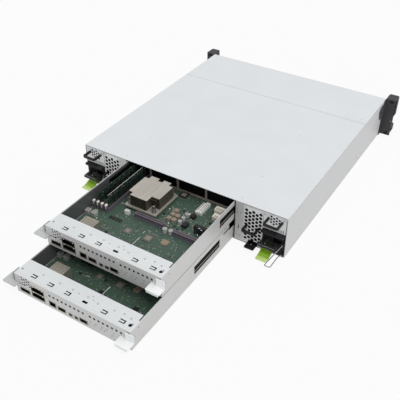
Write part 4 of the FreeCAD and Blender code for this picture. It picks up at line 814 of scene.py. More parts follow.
def slot_detail(tray):
    """Two rows of contacts, end keys and grooves on the expansion slots."""
    parts = Shapes(tray + "_slot_detail", tray + "_tray", tray_origin(tray))
    for low, high in solids_of(tray + "_expansion_slots", tray_origin(tray)):
        middle, top = (low.y + high.y) / 2, high.z
        for step in range(int((high.x - low.x - 6) / 1.5)):
            x = low.x + 3 + step * 1.5
            for sign in (-1, 1):
                spot = middle + sign * 1.1
                parts.block((x, spot - 0.25, top - 0.3), (x + 0.6, spot + 0.25, top + 0.06), "brass_pin")
        for side in (low.y - 0.1, high.y):
            parts.block((low.x + 1, side, top - 2.4), (high.x - 1, side + 0.1, top - 1.8), "chip_black")
            parts.block((low.x + 1, side, BOARD_TOP + 2), (high.x - 1, side + 0.1, BOARD_TOP + 2.5),
                        "grey_plastic")
        parts.block((low.x - 1.2, middle - 1.6, BOARD_TOP), (low.x, middle + 1.6, top + 1.4),
                    "slot_plastic", 0.3)
    parts.done()


def memory_detail(tray):
    """White latches, socket grooves and contacts, and the memory modules' chips, edges and fingers."""
    origin = tray_origin(tray)
    parts = Shapes(tray + "_memory_detail", tray + "_tray", origin)
    low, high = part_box(tray + "_memory_sockets")
    near, far = (low.y - origin.y) / MM, (high.y - origin.y) / MM
    pitch = (high.x - low.x - 6.2 * MM) / 3
    middles = [(low.x + 3.1 * MM + step * pitch) / MM for step in range(4)]
    for index, middle in enumerate(middles):
        for end in (near + 2.5, far - 2.5):
            parts.block((middle - 2.1, end - 2.8, 18.0), (middle + 2.1, end + 2.8, 21.4),
                        "cream_plastic", 0.6)
            parts.block((middle - 1.5, end - 2.6, 13.0), (middle + 1.5, end + 2.6, 18.2),
                        "cream_plastic", 0.3)
        if index % 2:
            for sign in (-1, 1):
                spot = middle + sign * 0.9
                parts.block((spot - 0.2, near + 10, 11.7), (spot + 0.2, far - 10, 12.06), "brass_pin")
            continue
        for step in range(8):
            start = near + 13 + step * 15.5
            parts.block((middle - 1.85, start, 17.3), (middle + 1.85, start + 10, 29.7), "chip_black", 0.15)
            parts.block((middle - 0.8, start + 11.4, 31.6), (middle + 0.8, start + 13.8, 32.8), "choke_grey")
        if index == 0:
            parts.block((middle - 0.4, near + 9, 36.75), (middle + 0.4, far - 9, 37.02), "tray_steel")
        parts.block((middle - 0.66, near + 9, 8.4), (middle + 0.66, far - 9, 12.6), "brass_pin")
    parts.done()


def heatsink_detail(tray):
    """Springs and screws in the wells, a bright edge on the base, fine lines on top and shaded fins."""
    origin = tray_origin(tray)
    low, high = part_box(tray + "_heatsink")
    low, high = (low - origin) / MM, (high - origin) / MM
    parts = Shapes(tray + "_heatsink_detail", tray + "_tray", origin)
    for x in (4.5, 56.5):
        for y in (high.y - 7.5, low.y + 7.5):
            for turn in range(7):
                parts.ring((x, y, 13.6 + turn * 1.5), (0, 0, 1), 3.5, 0.32, "bright_wire")
            parts.screw((x, y, 26.2), (0, 0, 1), settings().fastener.tray_screw / MM)
    for y in (low.y + 0.02, high.y - 0.3):
        parts.block((low.x + 0.3, y, 12.2), (high.x - 0.3, y + 0.28, 12.62), "solder")
    for step in range(11):
        y = low.y + 12 + step * (high.y - low.y - 24) / 10
        parts.block((low.x + 3.5, y, high.z - 0.02), (high.x - 3.5, y + 0.25, high.z + 0.04), "choke_grey")
    parts.done()
    # painted shade on the fins below their tops
    foot = origin + Vector((low.x - 1, low.y - 1, 12.8)) * MM
    head = origin + Vector((high.x + 1, high.y + 1, high.z - 1.0)) * MM
    zoned(tray + "_heatsink", tray + "_fins", "fin_aluminium", [(foot, head, shade(92, 85, 76))])


def port_detail(tray):
    """Tongues, contacts and trims of the rear connectors with painted shade in their mouths, and vents of
    painted shade on the module cage.
    """
    origin = tray_origin(tray)
    parts = Shapes(tray + "_port_detail", tray + "_tray", origin)
    for low, high in solids_of(tray + "_rear_ports", origin):
        wide, tall = high.x - low.x, high.z - low.z
        middle = (low + high) / 2
        parts.block((low.x + 1.0, -16.6, low.z + 1.0), (high.x - 1.0, -15.8, high.z - 1.0), "chip_black")
        if tall > 10:
            parts.block((low.x + 2.6, -14, high.z - 3.4), (high.x - 2.6, -2.5, high.z - 1.2),
                        "chip_black", 0.3)
            for step in range(8):
                x = low.x + 3.2 + step * (wide - 7) / 7
                parts.block((x, -12, high.z - 3.9), (x + 0.5, -3, high.z - 3.4), "brass_pin")
        elif wide < 10:
            parts.block((low.x + 1.6, -15, middle.z - 0.1), (high.x - 1.6, -2, middle.z + 1.2),
                        "cream_plastic", 0.2)
            for step in range(4):
                x = low.x + 2.1 + step * 1.0
                parts.block((x, -12, middle.z - 0.25), (x + 0.5, -3, middle.z - 0.1), "brass_pin")
        else:
            parts.block((low.x + 2.2, -15, low.z + 2.4), (high.x - 2.2, -3.2, high.z - 2.2),
                        "chip_black", 0.6)
            for row in range(2):
                for step in range(5):
                    x = low.x + 4.2 + step * (wide - 9) / 4
                    parts.disc((x, -3.2, middle.z - 0.9 + row * 1.8), (0, 1, 0), 0.35, 0.3, "brass_pin", 8)
            for x in (low.x - 0.9, high.x + 0.9):
                if abs(wide - 22) > 1:
                    parts.disc((x, 0, middle.z), (0, 1, 0), 0.8, 0.25, "solder", 6)
    low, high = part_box(tray + "_port_cage")
    low, high = (low - origin) / MM, (high - origin) / MM
    # painted shade: dark discs for the vents in the cage's top
    for x, y in staggered(5, 6, low.x + 4, low.y + 4, 5.2, 4.4):
        parts.disc((x, y, high.z - 0.02), (0, 0, 1), 0.8, 0.06, "dark_plastic", 10)
    for level in (BOARD_TOP + 2, BOARD_TOP + 14):
        parts.block((low.x + 1.0, -31.9, level), (high.x - 1.0, -31.4, level + 10), "chip_black")
        parts.block((low.x + 8, -24, level + 3.4), (high.x - 8, -9, level + 5.2), "slot_plastic", 0.3)
        for x in (low.x + 3, high.x - 5.4):
            parts.block((x, -0.6, level + 8.2), (x + 2.4, 0.25, level + 9.6), "cream_plastic", 0.2)
    # painted shade inside the connector shells and the module cage
    rim = 0.6 * MM
    for node in ("rear_ports", "port_cage"):
        near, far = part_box(f"{tray}_{node}")
        inner = near + Vector((rim, 0, rim)), far - Vector((0, rim, rim))
        zoned(f"{tray}_{node}", f"{tray}_{node}_shell", "port_nickel", [(*inner, shade(26, 25, 24))])
    trims = (
        (low.x - 0.9, 5, low.x - 0.1, high.z + 0.7),
        (high.x + 0.1, 5, high.x + 0.9, high.z + 0.7),
        (low.x - 0.9, high.z + 0.1, high.x + 0.9, high.z + 0.8),
    )
    for x0, z0, x1, z1 in trims:
        parts.block((x0, -0.02, z0), (x1, 0.28, z1), "case_steel", 0.1)
    parts.done()


def plate_detail(tray):
    """Rivets in grey rings of painted dimple shade, lance slots of painted shade, painted highlight lines
    along the folded rear edge and a cable clip on the top plate, and under it a dark film of painted shade
    that also stands for an insulating film.
    """
    origin = tray_origin(tray)
    parts = Shapes(tray + "_plate_detail", tray + "_tray", origin)
    sizes = settings().fastener
    top = TRAY_TOP
    for x, y in PLATE_RIVETS:
        # painted shade: a grey ring for the pressed dimple round each rivet
        parts.ring((x, y, top), (0, 0, 1), sizes.dimple / MM, 0.3, "grey_plastic")
        parts.disc((x, y, top), (0, 0, 1), sizes.rivet / MM, 0.1, "case_steel")
    # painted shade: flat dark shapes where the lance slots open
    for x in LANCES:
        for x0, y0, x1, y1 in LANCE_SLOTS:
            parts.block((x + x0, y0, top), (x + x1, y1, top + 0.06), "chip_black")
    for x, y in ((-3, -20), (-26, -27), (-31, -21)):
        parts.disc((x, y, top), (0, 0, 1), sizes.rivet / MM, 0.15, "grey_plastic", 16, 0.7)
    # painted highlight: two bright lines where the rear edge folds
    parts.block((-TRAY_HALF + 2, -5.2, top), (TRAY_HALF - 2, -4.7, top + 0.1), "case_steel")
    parts.block((-TRAY_HALF + 2, -1.4, top), (TRAY_HALF - 2, -1.0, top + 0.08), "case_steel")
    parts.block((-34.9, -52, top + 0.1), (-34.2, -31, top + 0.6), "plate_steel", 0.12)
    parts.block((-34.9, -57, top - 0.6), (-34.2, -51.6, top + 0.6), "plate_steel", 0.12)
    parts.disc((-34.6, -32.5, top), (0, 0, 1), 1.2, 0.4, "plate_steel")
    for sign in (-1, 1):
        parts.screw((sign * (TRAY_HALF - 6), -14, top), (0, 0, 1), 1.8)
    # painted shade under the lance slots, also standing for a black insulating film
    parts.block((-112, -36, top - 1.6), (112, -2.2, top - 1.4), "painted_shade")
    parts.done()


def tray_shell_detail(tray):
    """Painted shade behind and in the rear face's holes, behind the side windows, across the tray's inside
    and on the inner face of its +X wall; rivets on the walls and screws in the face.
    """
    origin = tray_origin(tray)
    parts = Shapes(tray + "_shell_detail", tray + "_tray", origin)
    sizes = settings().fastener
    # painted shade: dark sheets behind the rear face's openings
    parts.block((-108, -1.7, 24.6), (46.5, -1.4, 31.4), "painted_shade")
    parts.block((84.6, -1.7, 19.6), (103.2, -1.4, 38), "painted_shade")
    # painted shade filling the round holes and the mesh holes
    for start in (42.5, -39.2):
        for step in range(9):
            spot = (start - HOLE_PITCH * step, FILLER_FOOT, HOLE_LEVEL)
            parts.disc(spot, (0, 1, 0), HOLE_RADIUS, 0.88, "painted_shade", 6)
    for x, z in staggered(**MESH):
        parts.disc((x, FILLER_FOOT, z), (0, 1, 0), MESH_RADIUS, 0.88, "painted_shade", 16)
    for sign in (-1, 1):
        inner, outer = sorted((sign * 114.4, sign * 115.2))
        # painted shade behind the side window
        parts.block((inner, -262, 11), (outer, -167, 33), "painted_shade")
        edge = sorted((sign * 115.2, sign * 115.45))
        parts.block((edge[0], -257, 17.4), (edge[1], -172, 18.8), "airflow_steel")
        for y in (-30, -120, -300, -340):
            parts.disc((sign * TRAY_HALF, y, 8), (sign, 0, 0), sizes.rivet / MM, 0.12, "plated_steel")
        parts.screw((sign * TRAY_HALF, -20, 33), (sign, 0, 0), sizes.face_screw / MM)
    for x in (48.6, -34, -90):
        parts.screw((x, 0, 33.5), (0, 1, 0), sizes.face_screw / MM)
    # painted shade in small holes of the rear face
    for x in (-36, -46, -58, -66, -80, -92):
        parts.disc((x, 0, 10 + (x % 4)), (0, 1, 0), 0.9, 0.1, "painted_shade", 12)
        parts.block((x - 5, 0, 16.2), (x - 2.4, 0.1, 18.6), "grey_plastic")
    for x, tone in ((51.5, "status_green"), (49.4, "status_amber"), (-30, "status_green")):
        parts.disc((x, 0, 21.5), (0, 1, 0), 0.7, 0.2, tone, 12)
    # painted shade: a dark sheet across the tray's inside
    parts.block((-110, -240.6, 8), (72, -240.2, 36), "painted_shade")
    parts.done()
    # painted shade on the inner face of the +X wall
    inner = origin + Vector((114.5, -330, 5)) * MM, origin + Vector((116.1, -38, 38.5)) * MM
    zoned(tray + "_tray", tray + "_shell", "tray_steel", [(*inner, shade(96, 98, 99))])


def lever_detail(tray, side):
    """Ribs on one ejector lever."""
    name = f"{tray}_lever_{side}"
    low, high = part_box(name)
    origin = Vector(((low.x + high.x) / 2, (low.y + high.y) / 2, low.z))
    parts = Shapes(name + "_detail", name, origin)
    # painted light and shade: the left lever's ribs in the lit finish, the right lever's in the shaded one
    tone = "lever_light" if side == "left" else "lever_dark"
    for step in range(3):
        if side == "left":
            y = 1.5 + step * 3.0
            parts.block((-4, y, 5.0), (4, y + 1.0, 5.35), tone, 0.1)
        else:
            x = 1.5 + step * 3.0
            parts.block((x, -4, 5.0), (x + 1.0, 4, 5.35), tone, 0.1)
    parts.done()


# ---------------------------------------------------------------- power supplies and fans


def power_supply_detail(side):
    """Screws, a lamp, grid and inlet trims on one power supply, and painted shade in its vents and on its
    inside.
    """
    name = "psu_" + side
    low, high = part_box(name + "_case")
    origin = Vector((low.x, high.y, low.z))
    parts = Shapes(name + "_detail", name, origin)
    wide, tall = (high.x - low.x) / MM, (high.z - low.z) / MM
    for x in (3.2, wide - 3.2):
        parts.screw((x, 0, tall - 4), (0, 1, 0), settings().fastener.face_screw / MM)
    # painted shade filling the vent holes
    for x, z in staggered(**POWER_VENTS):
        parts.disc((x, VENT_FOOT, z), (0, 1, 0), 2.1, VENT_FILL, "painted_shade", 12)
    for step in range(9):
        x = 3.5 + step * 4.2
        parts.block((x, 0, 52), (x + 1.0, 0.12, 57), "dark_plastic")
    parts.block((0.6, 0, 48.5), (wide - 0.6, 0.3, 49.4), "dark_plastic")
    parts.block((0.4, 0, 44.9), (14, 9.2, 48.25), "dark_plastic", 0.3)
    for step in range(6):
        z = 26.5 + step * 2.9
        parts.block((22.4, 0, z), (wide - 1.4, 0.25, z + 0.6), "dark_plastic")
    for x in (1.2, wide - 1.2):
        parts.block((x - 0.35, 0, 5), (x + 0.35, 0.3, 44), "dark_plastic")
    for x0, z0, x1, z1 in INLET_RIM:
        parts.block((x0, 0, z0), (x1, 0.5, z1), "dark_plastic", 0.1)
    parts.disc((36, 0, 14.6), (0, 1, 0), 0.8, 0.5, "cream_plastic", 12)
    parts.block((11, 16.0, 23.3), (wide - 1, 16.8, 23.62), "grey_plastic", 0.1)
    parts.done()
    # painted shade on the case's inner faces
    inside = Vector((0.5, 0.5, 0.5)) * MM
    inside_shade = settings().plastic.painted_shade
    zoned(name + "_case", name + "_shell", "case_steel",
          [(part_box(name + "_case")[0] + inside, high - inside, inside_shade)])
    bar = origin + Vector((9, 0.4, 18)) * MM, origin + Vector((wide + 1, 18, 24)) * MM
    zoned(name + "_front", name + "_face", "black_plastic", [(*bar, shade(46, 45, 50))])


def power_latch_detail(side):
    """A painted highlight on the raised rib, the grip lines and the fold of one power supply's release tab.
    """
    name = f"psu_{side}_latch"
    low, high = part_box(name)
    origin = Vector((low.x, high.y, low.z))
    parts = Shapes(name + "_detail", name, origin)
    wide = (high.x - low.x) / MM
    start = wide - 21
    # painted highlight on the raised rib and the grip lines
    parts.block((start + 3, -9.6, 2.0), (wide - 3, -8.8, 2.3), "lime_edge", 0.1)
    for step in range(4):
        y = -2.2 - step * 1.6
        parts.block((start + 4, y, 2.0), (wide - 4, y + 0.7, 2.25), "lime_edge", 0.08)
    parts.done()
    # painted highlight over the fold
    fold = origin + Vector((-1, -8.0, -1)) * MM, origin + Vector((wide + 1, 1, 2.4)) * MM
    zoned(name, name + "_lime", "lime_plastic", [(*fold, tuple(settings().plastic.lime_edge))])


def fan_module_detail(side):
    """Screws, rolled edges, and painted shade in the vents and on the inside of one fan module."""
    name = "fan_" + side
    low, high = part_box(name + "_case")
    parts = Shapes(name + "_detail", name, Vector((low.x, high.y, low.z)))
    wide, tall = (high.x - low.x) / MM, (high.z - low.z) / MM
    for z in (4, tall - 4):
        for x in (3, wide - 3):
            parts.screw((x, 0, z), (0, 1, 0), 1.2)
    # painted shade filling the vent holes
    for x, z in staggered(**FAN_VENTS):
        parts.disc((x, VENT_FOOT, z), (0, 1, 0), 3.1, VENT_FILL, "painted_shade", 12)
    parts.block((0.5, -0.4, tall - 1.2), (wide - 0.5, 0.25, tall - 0.6), "plated_steel")
    for x in (1.4, wide - 1.4):
        parts.block((x - 0.2, 0, 12), (x + 0.2, 0.15, tall - 8), "plated_steel")
    parts.done()
    # painted shade on the case's inner faces
    inside = Vector((0.6, 0.6, 0.6)) * MM
    zoned(name + "_case", name + "_shell", "case_steel",
          [(low + inside, high - inside, settings().plastic.painted_shade)])


def fan_grip_detail(side):
    """Ribs on one fan module's handle and on its release tab."""
    name = "fan_" + side
    low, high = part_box(name + "_handle")
    grip = Shapes(name + "_grip", name, Vector((low.x, high.y, high.z)))
    wide = (high.x - low.x) / MM
    for step in range(7):
        x = 6 + step * (wide - 12) / 6
        grip.block((x - 0.5, -3.4, 0), (x + 0.5, -0.4, 0.2), "dark_plastic")
    grip.done()
    low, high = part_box(name + "_latch")
    latch = Shapes(name + "_latch_detail", name + "_latch", Vector((low.x, high.y, high.z)))
    for step in range(4):
        y = -2.4 - step * 2.2
        latch.block((5.4, y, 0), (wide - 8.4, y + 1.0, 0.3), "dark_plastic", 0.1)
    latch.block((10.5, -12.2, 0), (13, -11.2, 0.25), "cream_plastic", 0.1)
    latch.done()


def rotor_cap(side, level):
    """Moulded rings on the hub of one fan rotor."""
    node = f"fan_{side}_rotor_{level}"
    low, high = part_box(node)
    hub = Shapes(node + "_cap", node, (low + high) / 2)
    for radius in (3.0, 5.0, 6.4):
        hub.ring((0, 7.0, 0), (0, 1, 0), radius, 0.15, "grey_plastic")
    hub.done()


# ---------------------------------------------------------------- chassis, drives and ears


def chassis_detail():
    """Screws on the side walls, the dark line under the covers and painted shade in the dimples on the
    covers.
    """
    parts = Shapes("chassis_detail", "chassis")
    sizes = settings().fastener
    low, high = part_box("chassis_tray")
    half, rear, front = high.x / MM, high.y / MM, low.y / MM
    for y, z in SIDE_SCREWS:
        for sign in (-1, 1):
            parts.screw((sign * half, y, z), (sign, 0, 0), sizes.side_screw / MM)
    for sign in (-1, 1):
        for y in (-230, -60, 40, 120):
            parts.disc((sign * half, y, 74), (sign, 0, 0), sizes.rivet / MM, 0.1, "chassis_steel")
        line = sorted((sign * (half - 0.1), sign * (half + 0.08)))
        parts.block((line[0], front + 1, 85.55), (line[1], rear - 1, 86.1), "grey_plastic")
    parts.done()
    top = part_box("rear_cover")[1].z
    # painted shade: darker spots where the covers are dimpled
    for node, across, places in (("rear_cover", 125, (-5, 160, 236)), ("front_cover", 205, (-232, -132))):
        zones = []
        for x in (-across, across):
            for y in places:
                zones.append((Vector(((x - 0.9) * MM, (y - 0.9) * MM, top - MM)),
                              Vector(((x + 0.9) * MM, (y + 0.9) * MM, top + MM)), shade(150, 152, 154)))
        zoned(node, node + "_paint", "cover_steel", zones)


def rear_strip_detail():
    """Dots and a slot of painted shade, and painted shade in the gap at each inner edge, on the strips either
    side of the tray bay, and a painted shadow line along their foot.
    """
    parts = Shapes("rear_strips", "chassis")
    wall_low, wall_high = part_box("bay_wall_right")
    rear = wall_high.y / MM
    inner, outer = wall_low.x / MM + 3.4, wall_high.x / MM
    middle = (inner + outer) / 2
    for sign in (-1, 1):
        # painted shade: dark dots for holes in the strip
        for x, z in ((middle - 3, 62), (middle + 3, 63), (middle - 3, 12), (middle + 3, 12)):
            parts.disc((sign * x, rear, z), (0, 1, 0), 0.9, 0.12, "painted_shade", 12)
        # painted shade: a dark slot in the strip
        parts.block((sign * middle - 0.8, rear - 0.05, 27), (sign * middle + 0.8, rear + 0.12, 35),
                    "dark_plastic")
        # painted shade in the gap at the strip's inner edge
        gap_shade = sorted((sign * (inner - 0.2), sign * (inner + 1.6)))
        parts.block((gap_shade[0], rear - 0.3, 1.2), (gap_shade[1], rear + 0.1, 85.5), "painted_shade")
        # painted shadow along the foot, where the floor's shadow falls
        foot = sorted((sign * inner, sign * (outer + 38)))
        parts.block((foot[0], rear - 0.5, 0.1), (foot[1], rear + 0.1, 0.95), "painted_shade")
        for z in (30, 74):
            parts.screw((sign * (outer - 3), rear, z), (0, 1, 0), 1.1)
    parts.done()


def drive_face(parts, left, wide):
    """Latch bar, grille, rails and status lamps on one drive carrier's face."""
    low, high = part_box("drive_carriers")
    front, bottom, top = low.y / MM, low.z / MM, high.z / MM
    parts.block((left + 4.4, front + 0.5, top - 21), (left + wide - 4.2, front + 3, top - 8),
                "grey_plastic", 0.5)
    parts.block((left + 5.4, front - 0.05, top - 12), (left + wide - 5.2, front + 1, top - 10),
                "lime_plastic", 0.2)
    for offset, tone in ((-2, "status_green"), (2, "status_amber")):
        parts.disc((left + wide / 2 + offset, front + 0.1, bottom + 3), (0, -1, 0), 0.8, 0.3, tone, 12)
    for row in range(10):
        z = bottom + 9 + row * 4.6
        parts.block((left + 4.2, front + 1.0, z), (left + wide - 4.0, front + 2.4, z + 0.9), "dark_plastic")
    for x in (left + 1.1, left + wide - 1.7):
        parts.block((x, front - 0.05, bottom + 2), (x + 0.6, front + 0.6, top - 2), "dark_plastic", 0.1)


def drive_faces():
    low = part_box("drive_carriers")[0]
    last_low, last_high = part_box("drive_carrier_last")
    pitch = (last_low.x - low.x) / MM / 23
    wide = (last_high.x - last_low.x) / MM
    parts = Shapes("carrier_faces", "chassis")
    for index in range(23):
        drive_face(parts, low.x / MM + index * pitch, wide)
    parts.done()
    last = Shapes("carrier_face_last", "drive_carrier_last")
    drive_face(last, last_low.x / MM, wide)
    last.done()


def ear_detail(side):
    """Blank plate, lamps, ribs, side wing, trims and the captive screws of one rack ear."""
    sign = -1 if side == "left" else 1
    low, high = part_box("rack_ear_" + side)
    parts = Shapes(f"ear_{side}_detail", "chassis")
    middle = (low.x + high.x) / 2 / MM
    front = low.y / MM
    parts.block((middle - 8, front - 0.05, 7), (middle + 8, front + 0.3, 18), "grey_plastic", 0.1)
    for step in range(3):
        parts.disc((middle - 4 + 4 * step, front + 0.1, 68), (0, -1, 0), 0.8, 0.3, "status_green", 12)
    for step in range(5):
        z = 72 + step * 2.2
        parts.block((middle - 7, front - 0.05, z), (middle + 7, front + 0.3, z + 1), "dark_plastic")
    wall = sign * 219.02
    corners = ((-248.2, 1), (-238, 1), (-236, 44), (-221, 47), (-211, 69), (-216, 77), (-248.2, 80))
    wing = [(wall, y, z) for y, z in corners]
    parts.sheet(wing, (sign, 0, 0), 1.5, "black_plastic")
    parts.screw((sign * 220.5, -226, 62), (sign, 0, 0), 1.7, "dark_plastic")
    outer = sign * 241.3
    trim = sorted((outer - sign * 0.3, outer))
    parts.block((trim[0], -258, 12), (trim[1], -249, 18), "grey_plastic", 0.1)
    parts.block((trim[0], -258, 48), (trim[1], -249, 86), "grey_plastic", 0.1)
    parts.disc((sign * 238.6, -248.3, 36), (0, 1, 0), 1.0, 0.15, "cream_plastic", 12)
    place = sign * RACK_SLOT_PLACE
    for z in RACK_SLOT_LEVELS:
        parts.block((place - 5.0, -252, z - 3.2), (place + 5.0, -250, z + 3.2), "black_plastic")
        parts.disc((place, -274, z), (0, 1, 0), 2.6, 25.4, "dark_plastic")
        parts.ring((place, -249, z), (0, 1, 0), 2.2, 0.4, "grey_plastic")
    parts.done()


# ---------------------------------------------------------------- studio


def make_camera():
    studio = settings().studio
    camera = bpy.data.objects.new("camera", bpy.data.cameras.new("camera"))
    bpy.context.scene.collection.objects.link(camera)
    bpy.context.scene.camera = camera
    target = Vector((0.0842, 0.0510, -0.1401))
    away = Vector((math.sin(studio.azimuth) * math.cos(studio.elevation),
                   math.cos(studio.azimuth) * math.cos(studio.elevation), math.sin(studio.elevation)))
    camera.location = target + away * studio.distance
    camera.rotation_euler = away.to_track_quat("Z", "Y").to_euler()
    camera.data.lens = studio.lens
    camera.data.shift_x = 0.0075
    camera.data.shift_y = 0.015
    camera.data.clip_start = 0.01


def make_floor():
    """A pale floor that keeps the shadow and is near white to the camera and in reflections."""
    studio = settings().studio
    mesh = bpy.data.meshes.new("floor")
    reach = 6.0
    mesh.from_pydata([(-reach, -reach, 0), (reach, -reach, 0), (reach, reach, 0), (-reach, reach, 0)], [],
                     [(0, 1, 2, 3)])
    floor = bpy.data.objects.new("floor", mesh)
    floor.location.z = CAD_BOX[0][2] - 0.0002
    bpy.context.scene.collection.objects.link(floor)
    pale = bpy.data.materials.new("pale_floor")
    pale.use_nodes = True
    tree = pale.node_tree
    shader = tree.nodes["Principled BSDF"]
    shader.inputs["Base Color"].default_value = studio.floor
    shader.inputs["Roughness"].default_value = 0.9
    shader.inputs["Specular IOR Level"].default_value = 0.0
    glow = tree.nodes.new("ShaderNodeEmission")
    path = tree.nodes.new("ShaderNodeLightPath")
    mixer = tree.nodes.new("ShaderNodeMixShader")
    seen = math_node(tree, "ADD", path.outputs["Is Camera Ray"], path.outputs["Is Glossy Ray"], clamp=True)
    seen = math_node(tree, "ADD", seen, path.outputs["Is Transmission Ray"], clamp=True)
    link(tree, math_node(tree, "MULTIPLY", seen, studio.backdrop), mixer.inputs[0])
    link(tree, shader.outputs[0], mixer.inputs[1])
    link(tree, glow.outputs[0], mixer.inputs[2])
    link(tree, mixer.outputs[0], tree.nodes["Material Output"].inputs["Surface"])
    mesh.materials.append(pale)


def make_lights():
    """An even world, a soft sun from the upper left and a wide one overhead."""
    studio = settings().studio
    world = bpy.data.worlds.new("studio")
    bpy.context.scene.world = world
    world.use_nodes = True
    tree = world.node_tree
    ambient = tree.nodes["Background"]
    ambient.inputs["Color"].default_value = (0.97, 0.98, 1.0, 1)
    ambient.inputs["Strength"].default_value = studio.ambient
    white = tree.nodes.new("ShaderNodeBackground")
    white.inputs["Color"].default_value = (1, 1, 1, 1)
    path = tree.nodes.new("ShaderNodeLightPath")
    mixer = tree.nodes.new("ShaderNodeMixShader")
    link(tree, path.outputs["Is Camera Ray"], mixer.inputs[0])
    link(tree, ambient.outputs[0], mixer.inputs[1])
    link(tree, white.outputs[0], mixer.inputs[2])
    link(tree, mixer.outputs[0], tree.nodes["World Output"].inputs["Surface"])
    for name, toward, power, width in (("key", (-0.5, 0.25, 0.95), studio.key, 30),
                                       ("top", (0.1, -0.2, 1.0), studio.top, 60)):
        lamp = bpy.data.objects.new(name, bpy.data.lights.new(name, "SUN"))
        lamp.data.energy = power
        lamp.data.angle = math.radians(width)
        lamp.rotation_euler = Vector(toward).to_track_quat("Z", "Y").to_euler()
        bpy.context.scene.collection.objects.link(lamp)


# ---------------------------------------------------------------- steps


class RACK_SERVER_OT_finishes(bpy.types.Operator):
    """Make every finish and give the frame's nodes theirs"""
    bl_idname = "rack_server.finishes"
    bl_label = "Finishes"

    def execute(self, context):
        make_finishes()
        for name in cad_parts:
            give(name, bpy.data.materials[finish_of(name)])
        return {"FINISHED"}


class RACK_SERVER_OT_board_parts(bpy.types.Operator):
    """Add the legs, pins, tops and coin cell of the board components"""
    bl_idname = "rack_server.board_parts"
    bl_label = "Board Components"

    def execute(self, context):
        for tray in TRAYS:
            board_detail(tray)
        return {"FINISHED"}


class RACK_SERVER_OT_small_parts(bpy.types.Operator):
    """Scatter resistors, capacitors and small chips over the free board"""
    bl_idname = "rack_server.small_parts"
    bl_label = "Small Parts"

    def execute(self, context):
        for tray in TRAYS:
            small_parts(tray)
        return {"FINISHED"}


class RACK_SERVER_OT_expansion_slots(bpy.types.Operator):
    """Add the contacts, grooves and keys of the expansion slots"""
    bl_idname = "rack_server.expansion_slots"
    bl_label = "Expansion Slots"

    def execute(self, context):
        for tray in TRAYS:
            slot_detail(tray)
        return {"FINISHED"}


class RACK_SERVER_OT_memory(bpy.types.Operator):
    """Add the latches, contacts and chips of the memory"""
    bl_idname = "rack_server.memory"
    bl_label = "Memory"

    def execute(self, context):
        for tray in TRAYS:
            memory_detail(tray)
        return {"FINISHED"}


class RACK_SERVER_OT_heatsinks(bpy.types.Operator):
    """Add the springs and screws of the heatsinks"""
    bl_idname = "rack_server.heatsinks"
    bl_label = "Heatsinks"

    def execute(self, context):
        for tray in TRAYS:
            heatsink_detail(tray)
        return {"FINISHED"}


class RACK_SERVER_OT_ports(bpy.types.Operator):
    """Add the tongues, contacts, painted mouth shade and painted-shade vents of the rear connectors"""
    bl_idname = "rack_server.ports"
    bl_label = "Rear Connectors"

    def execute(self, context):
        for tray in TRAYS:
            port_detail(tray)
        return {"FINISHED"}


class RACK_SERVER_OT_top_plates(bpy.types.Operator):
    """Add the rivets, clip, painted fold highlights and the painted shade of the dimples, lance slots and
    film of the top plates
    """
    bl_idname = "rack_server.top_plates"
    bl_label = "Top Plates"

    def execute(self, context):
        for tray in TRAYS:
            plate_detail(tray)
        return {"FINISHED"}


class RACK_SERVER_OT_tray_shells(bpy.types.Operator):
    """Add the painted shade, rivets, screws and lamps of the tray shells"""
    bl_idname = "rack_server.tray_shells"
    bl_label = "Tray Shells"

    def execute(self, context):
        for tray in TRAYS:
            tray_shell_detail(tray)
        return {"FINISHED"}


class RACK_SERVER_OT_levers(bpy.types.Operator):
    """Add the pressed ribs of the ejector levers"""
    bl_idname = "rack_server.levers"
    bl_label = "Ejector Levers"

    def execute(self, context):
        for tray in TRAYS:
            for side in SIDES:
                lever_detail(tray, side)
        return {"FINISHED"}


class RACK_SERVER_OT_power_supplies(bpy.types.Operator):
    """Add the trims, lamps, painted tab highlights and the painted shade in the vents and insides of the
    power supplies
    """
    bl_idname = "rack_server.power_supplies"
    bl_label = "Power Supplies"

    def execute(self, context):
        for side in SIDES:
            power_supply_detail(side)
            power_latch_detail(side)
        return {"FINISHED"}


class RACK_SERVER_OT_fan_modules(bpy.types.Operator):
    """Add the screws, grips, rotor rings and the painted shade in the vents and insides of the fan modules"""
    bl_idname = "rack_server.fan_modules"
    bl_label = "Fan Modules"

    def execute(self, context):
        for side in SIDES:
            fan_module_detail(side)
            fan_grip_detail(side)
            for level in TRAYS:
                rotor_cap(side, level)
        return {"FINISHED"}


class RACK_SERVER_OT_chassis(bpy.types.Operator):
    """Add the screws, lines, strips and painted shade of the chassis and its covers"""
    bl_idname = "rack_server.chassis"
    bl_label = "Chassis"

    def execute(self, context):
        chassis_detail()
        rear_strip_detail()
        return {"FINISHED"}


class RACK_SERVER_OT_drives(bpy.types.Operator):
    """Add the faces of the drive carriers"""
    bl_idname = "rack_server.drives"
    bl_label = "Drive Carriers"

    def execute(self, context):
        drive_faces()
        return {"FINISHED"}


class RACK_SERVER_OT_ears(bpy.types.Operator):
    """Add the wings, lamps and trims of the rack ears"""
    bl_idname = "rack_server.ears"
    bl_label = "Rack Ears"

    def execute(self, context):
        for side in SIDES:
            ear_detail(side)
        return {"FINISHED"}


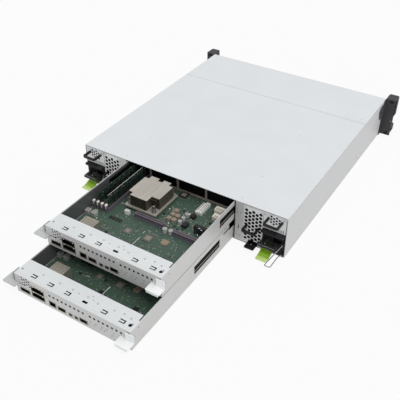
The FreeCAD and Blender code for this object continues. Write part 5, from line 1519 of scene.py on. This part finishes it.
class RACK_SERVER_OT_studio(bpy.types.Operator):
    """Set up the camera, the floor and the lights"""
    bl_idname = "rack_server.studio"
    bl_label = "Studio"

    def execute(self, context):
        context.scene.view_settings.view_transform = "Standard"
        make_camera()
        make_floor()
        make_lights()
        return {"FINISHED"}


STEPS = (
    RACK_SERVER_OT_finishes, RACK_SERVER_OT_board_parts, RACK_SERVER_OT_small_parts,
    RACK_SERVER_OT_expansion_slots, RACK_SERVER_OT_memory, RACK_SERVER_OT_heatsinks, RACK_SERVER_OT_ports,
    RACK_SERVER_OT_top_plates, RACK_SERVER_OT_tray_shells, RACK_SERVER_OT_levers,
    RACK_SERVER_OT_power_supplies, RACK_SERVER_OT_fan_modules, RACK_SERVER_OT_chassis,
    RACK_SERVER_OT_drives, RACK_SERVER_OT_ears, RACK_SERVER_OT_studio,
)


class RACK_SERVER_PT_looks(bpy.types.Panel):
    """Settings by group, then a button for each step in order"""
    bl_label = "Rack Server"
    bl_idname = "RACK_SERVER_PT_looks"
    bl_space_type = "VIEW_3D"
    bl_region_type = "UI"
    bl_category = "Rack Server"

    def draw(self, context):
        server = context.scene.rack_server
        for title, values in (("Metal", server.steel), ("Plastic", server.plastic), ("Boards", server.board),
                              ("Fasteners", server.fastener), ("Studio", server.studio)):
            box = self.layout.box()
            box.label(text=title)
            for name in values.__annotations__:
                box.prop(values, name)
        for step in STEPS:
            self.layout.operator(step.bl_idname)


CLASSES = (SteelColours, PlasticColours, BoardColours, FastenerSizes, StudioSettings, ServerSettings,
           *STEPS, RACK_SERVER_PT_looks)


def register():
    for made in CLASSES:
        bpy.utils.register_class(made)
    bpy.types.Scene.rack_server = bpy.props.PointerProperty(
        name="Rack server", description="Settings of the rack server's looks", type=ServerSettings)


def unregister():
    del bpy.types.Scene.rack_server
    for made in reversed(CLASSES):
        bpy.utils.unregister_class(made)


def main():
    register()
    for step in STEPS:
        getattr(bpy.ops.rack_server, step.bl_idname.partition(".")[2])()


if __name__ == "__main__":
    main()
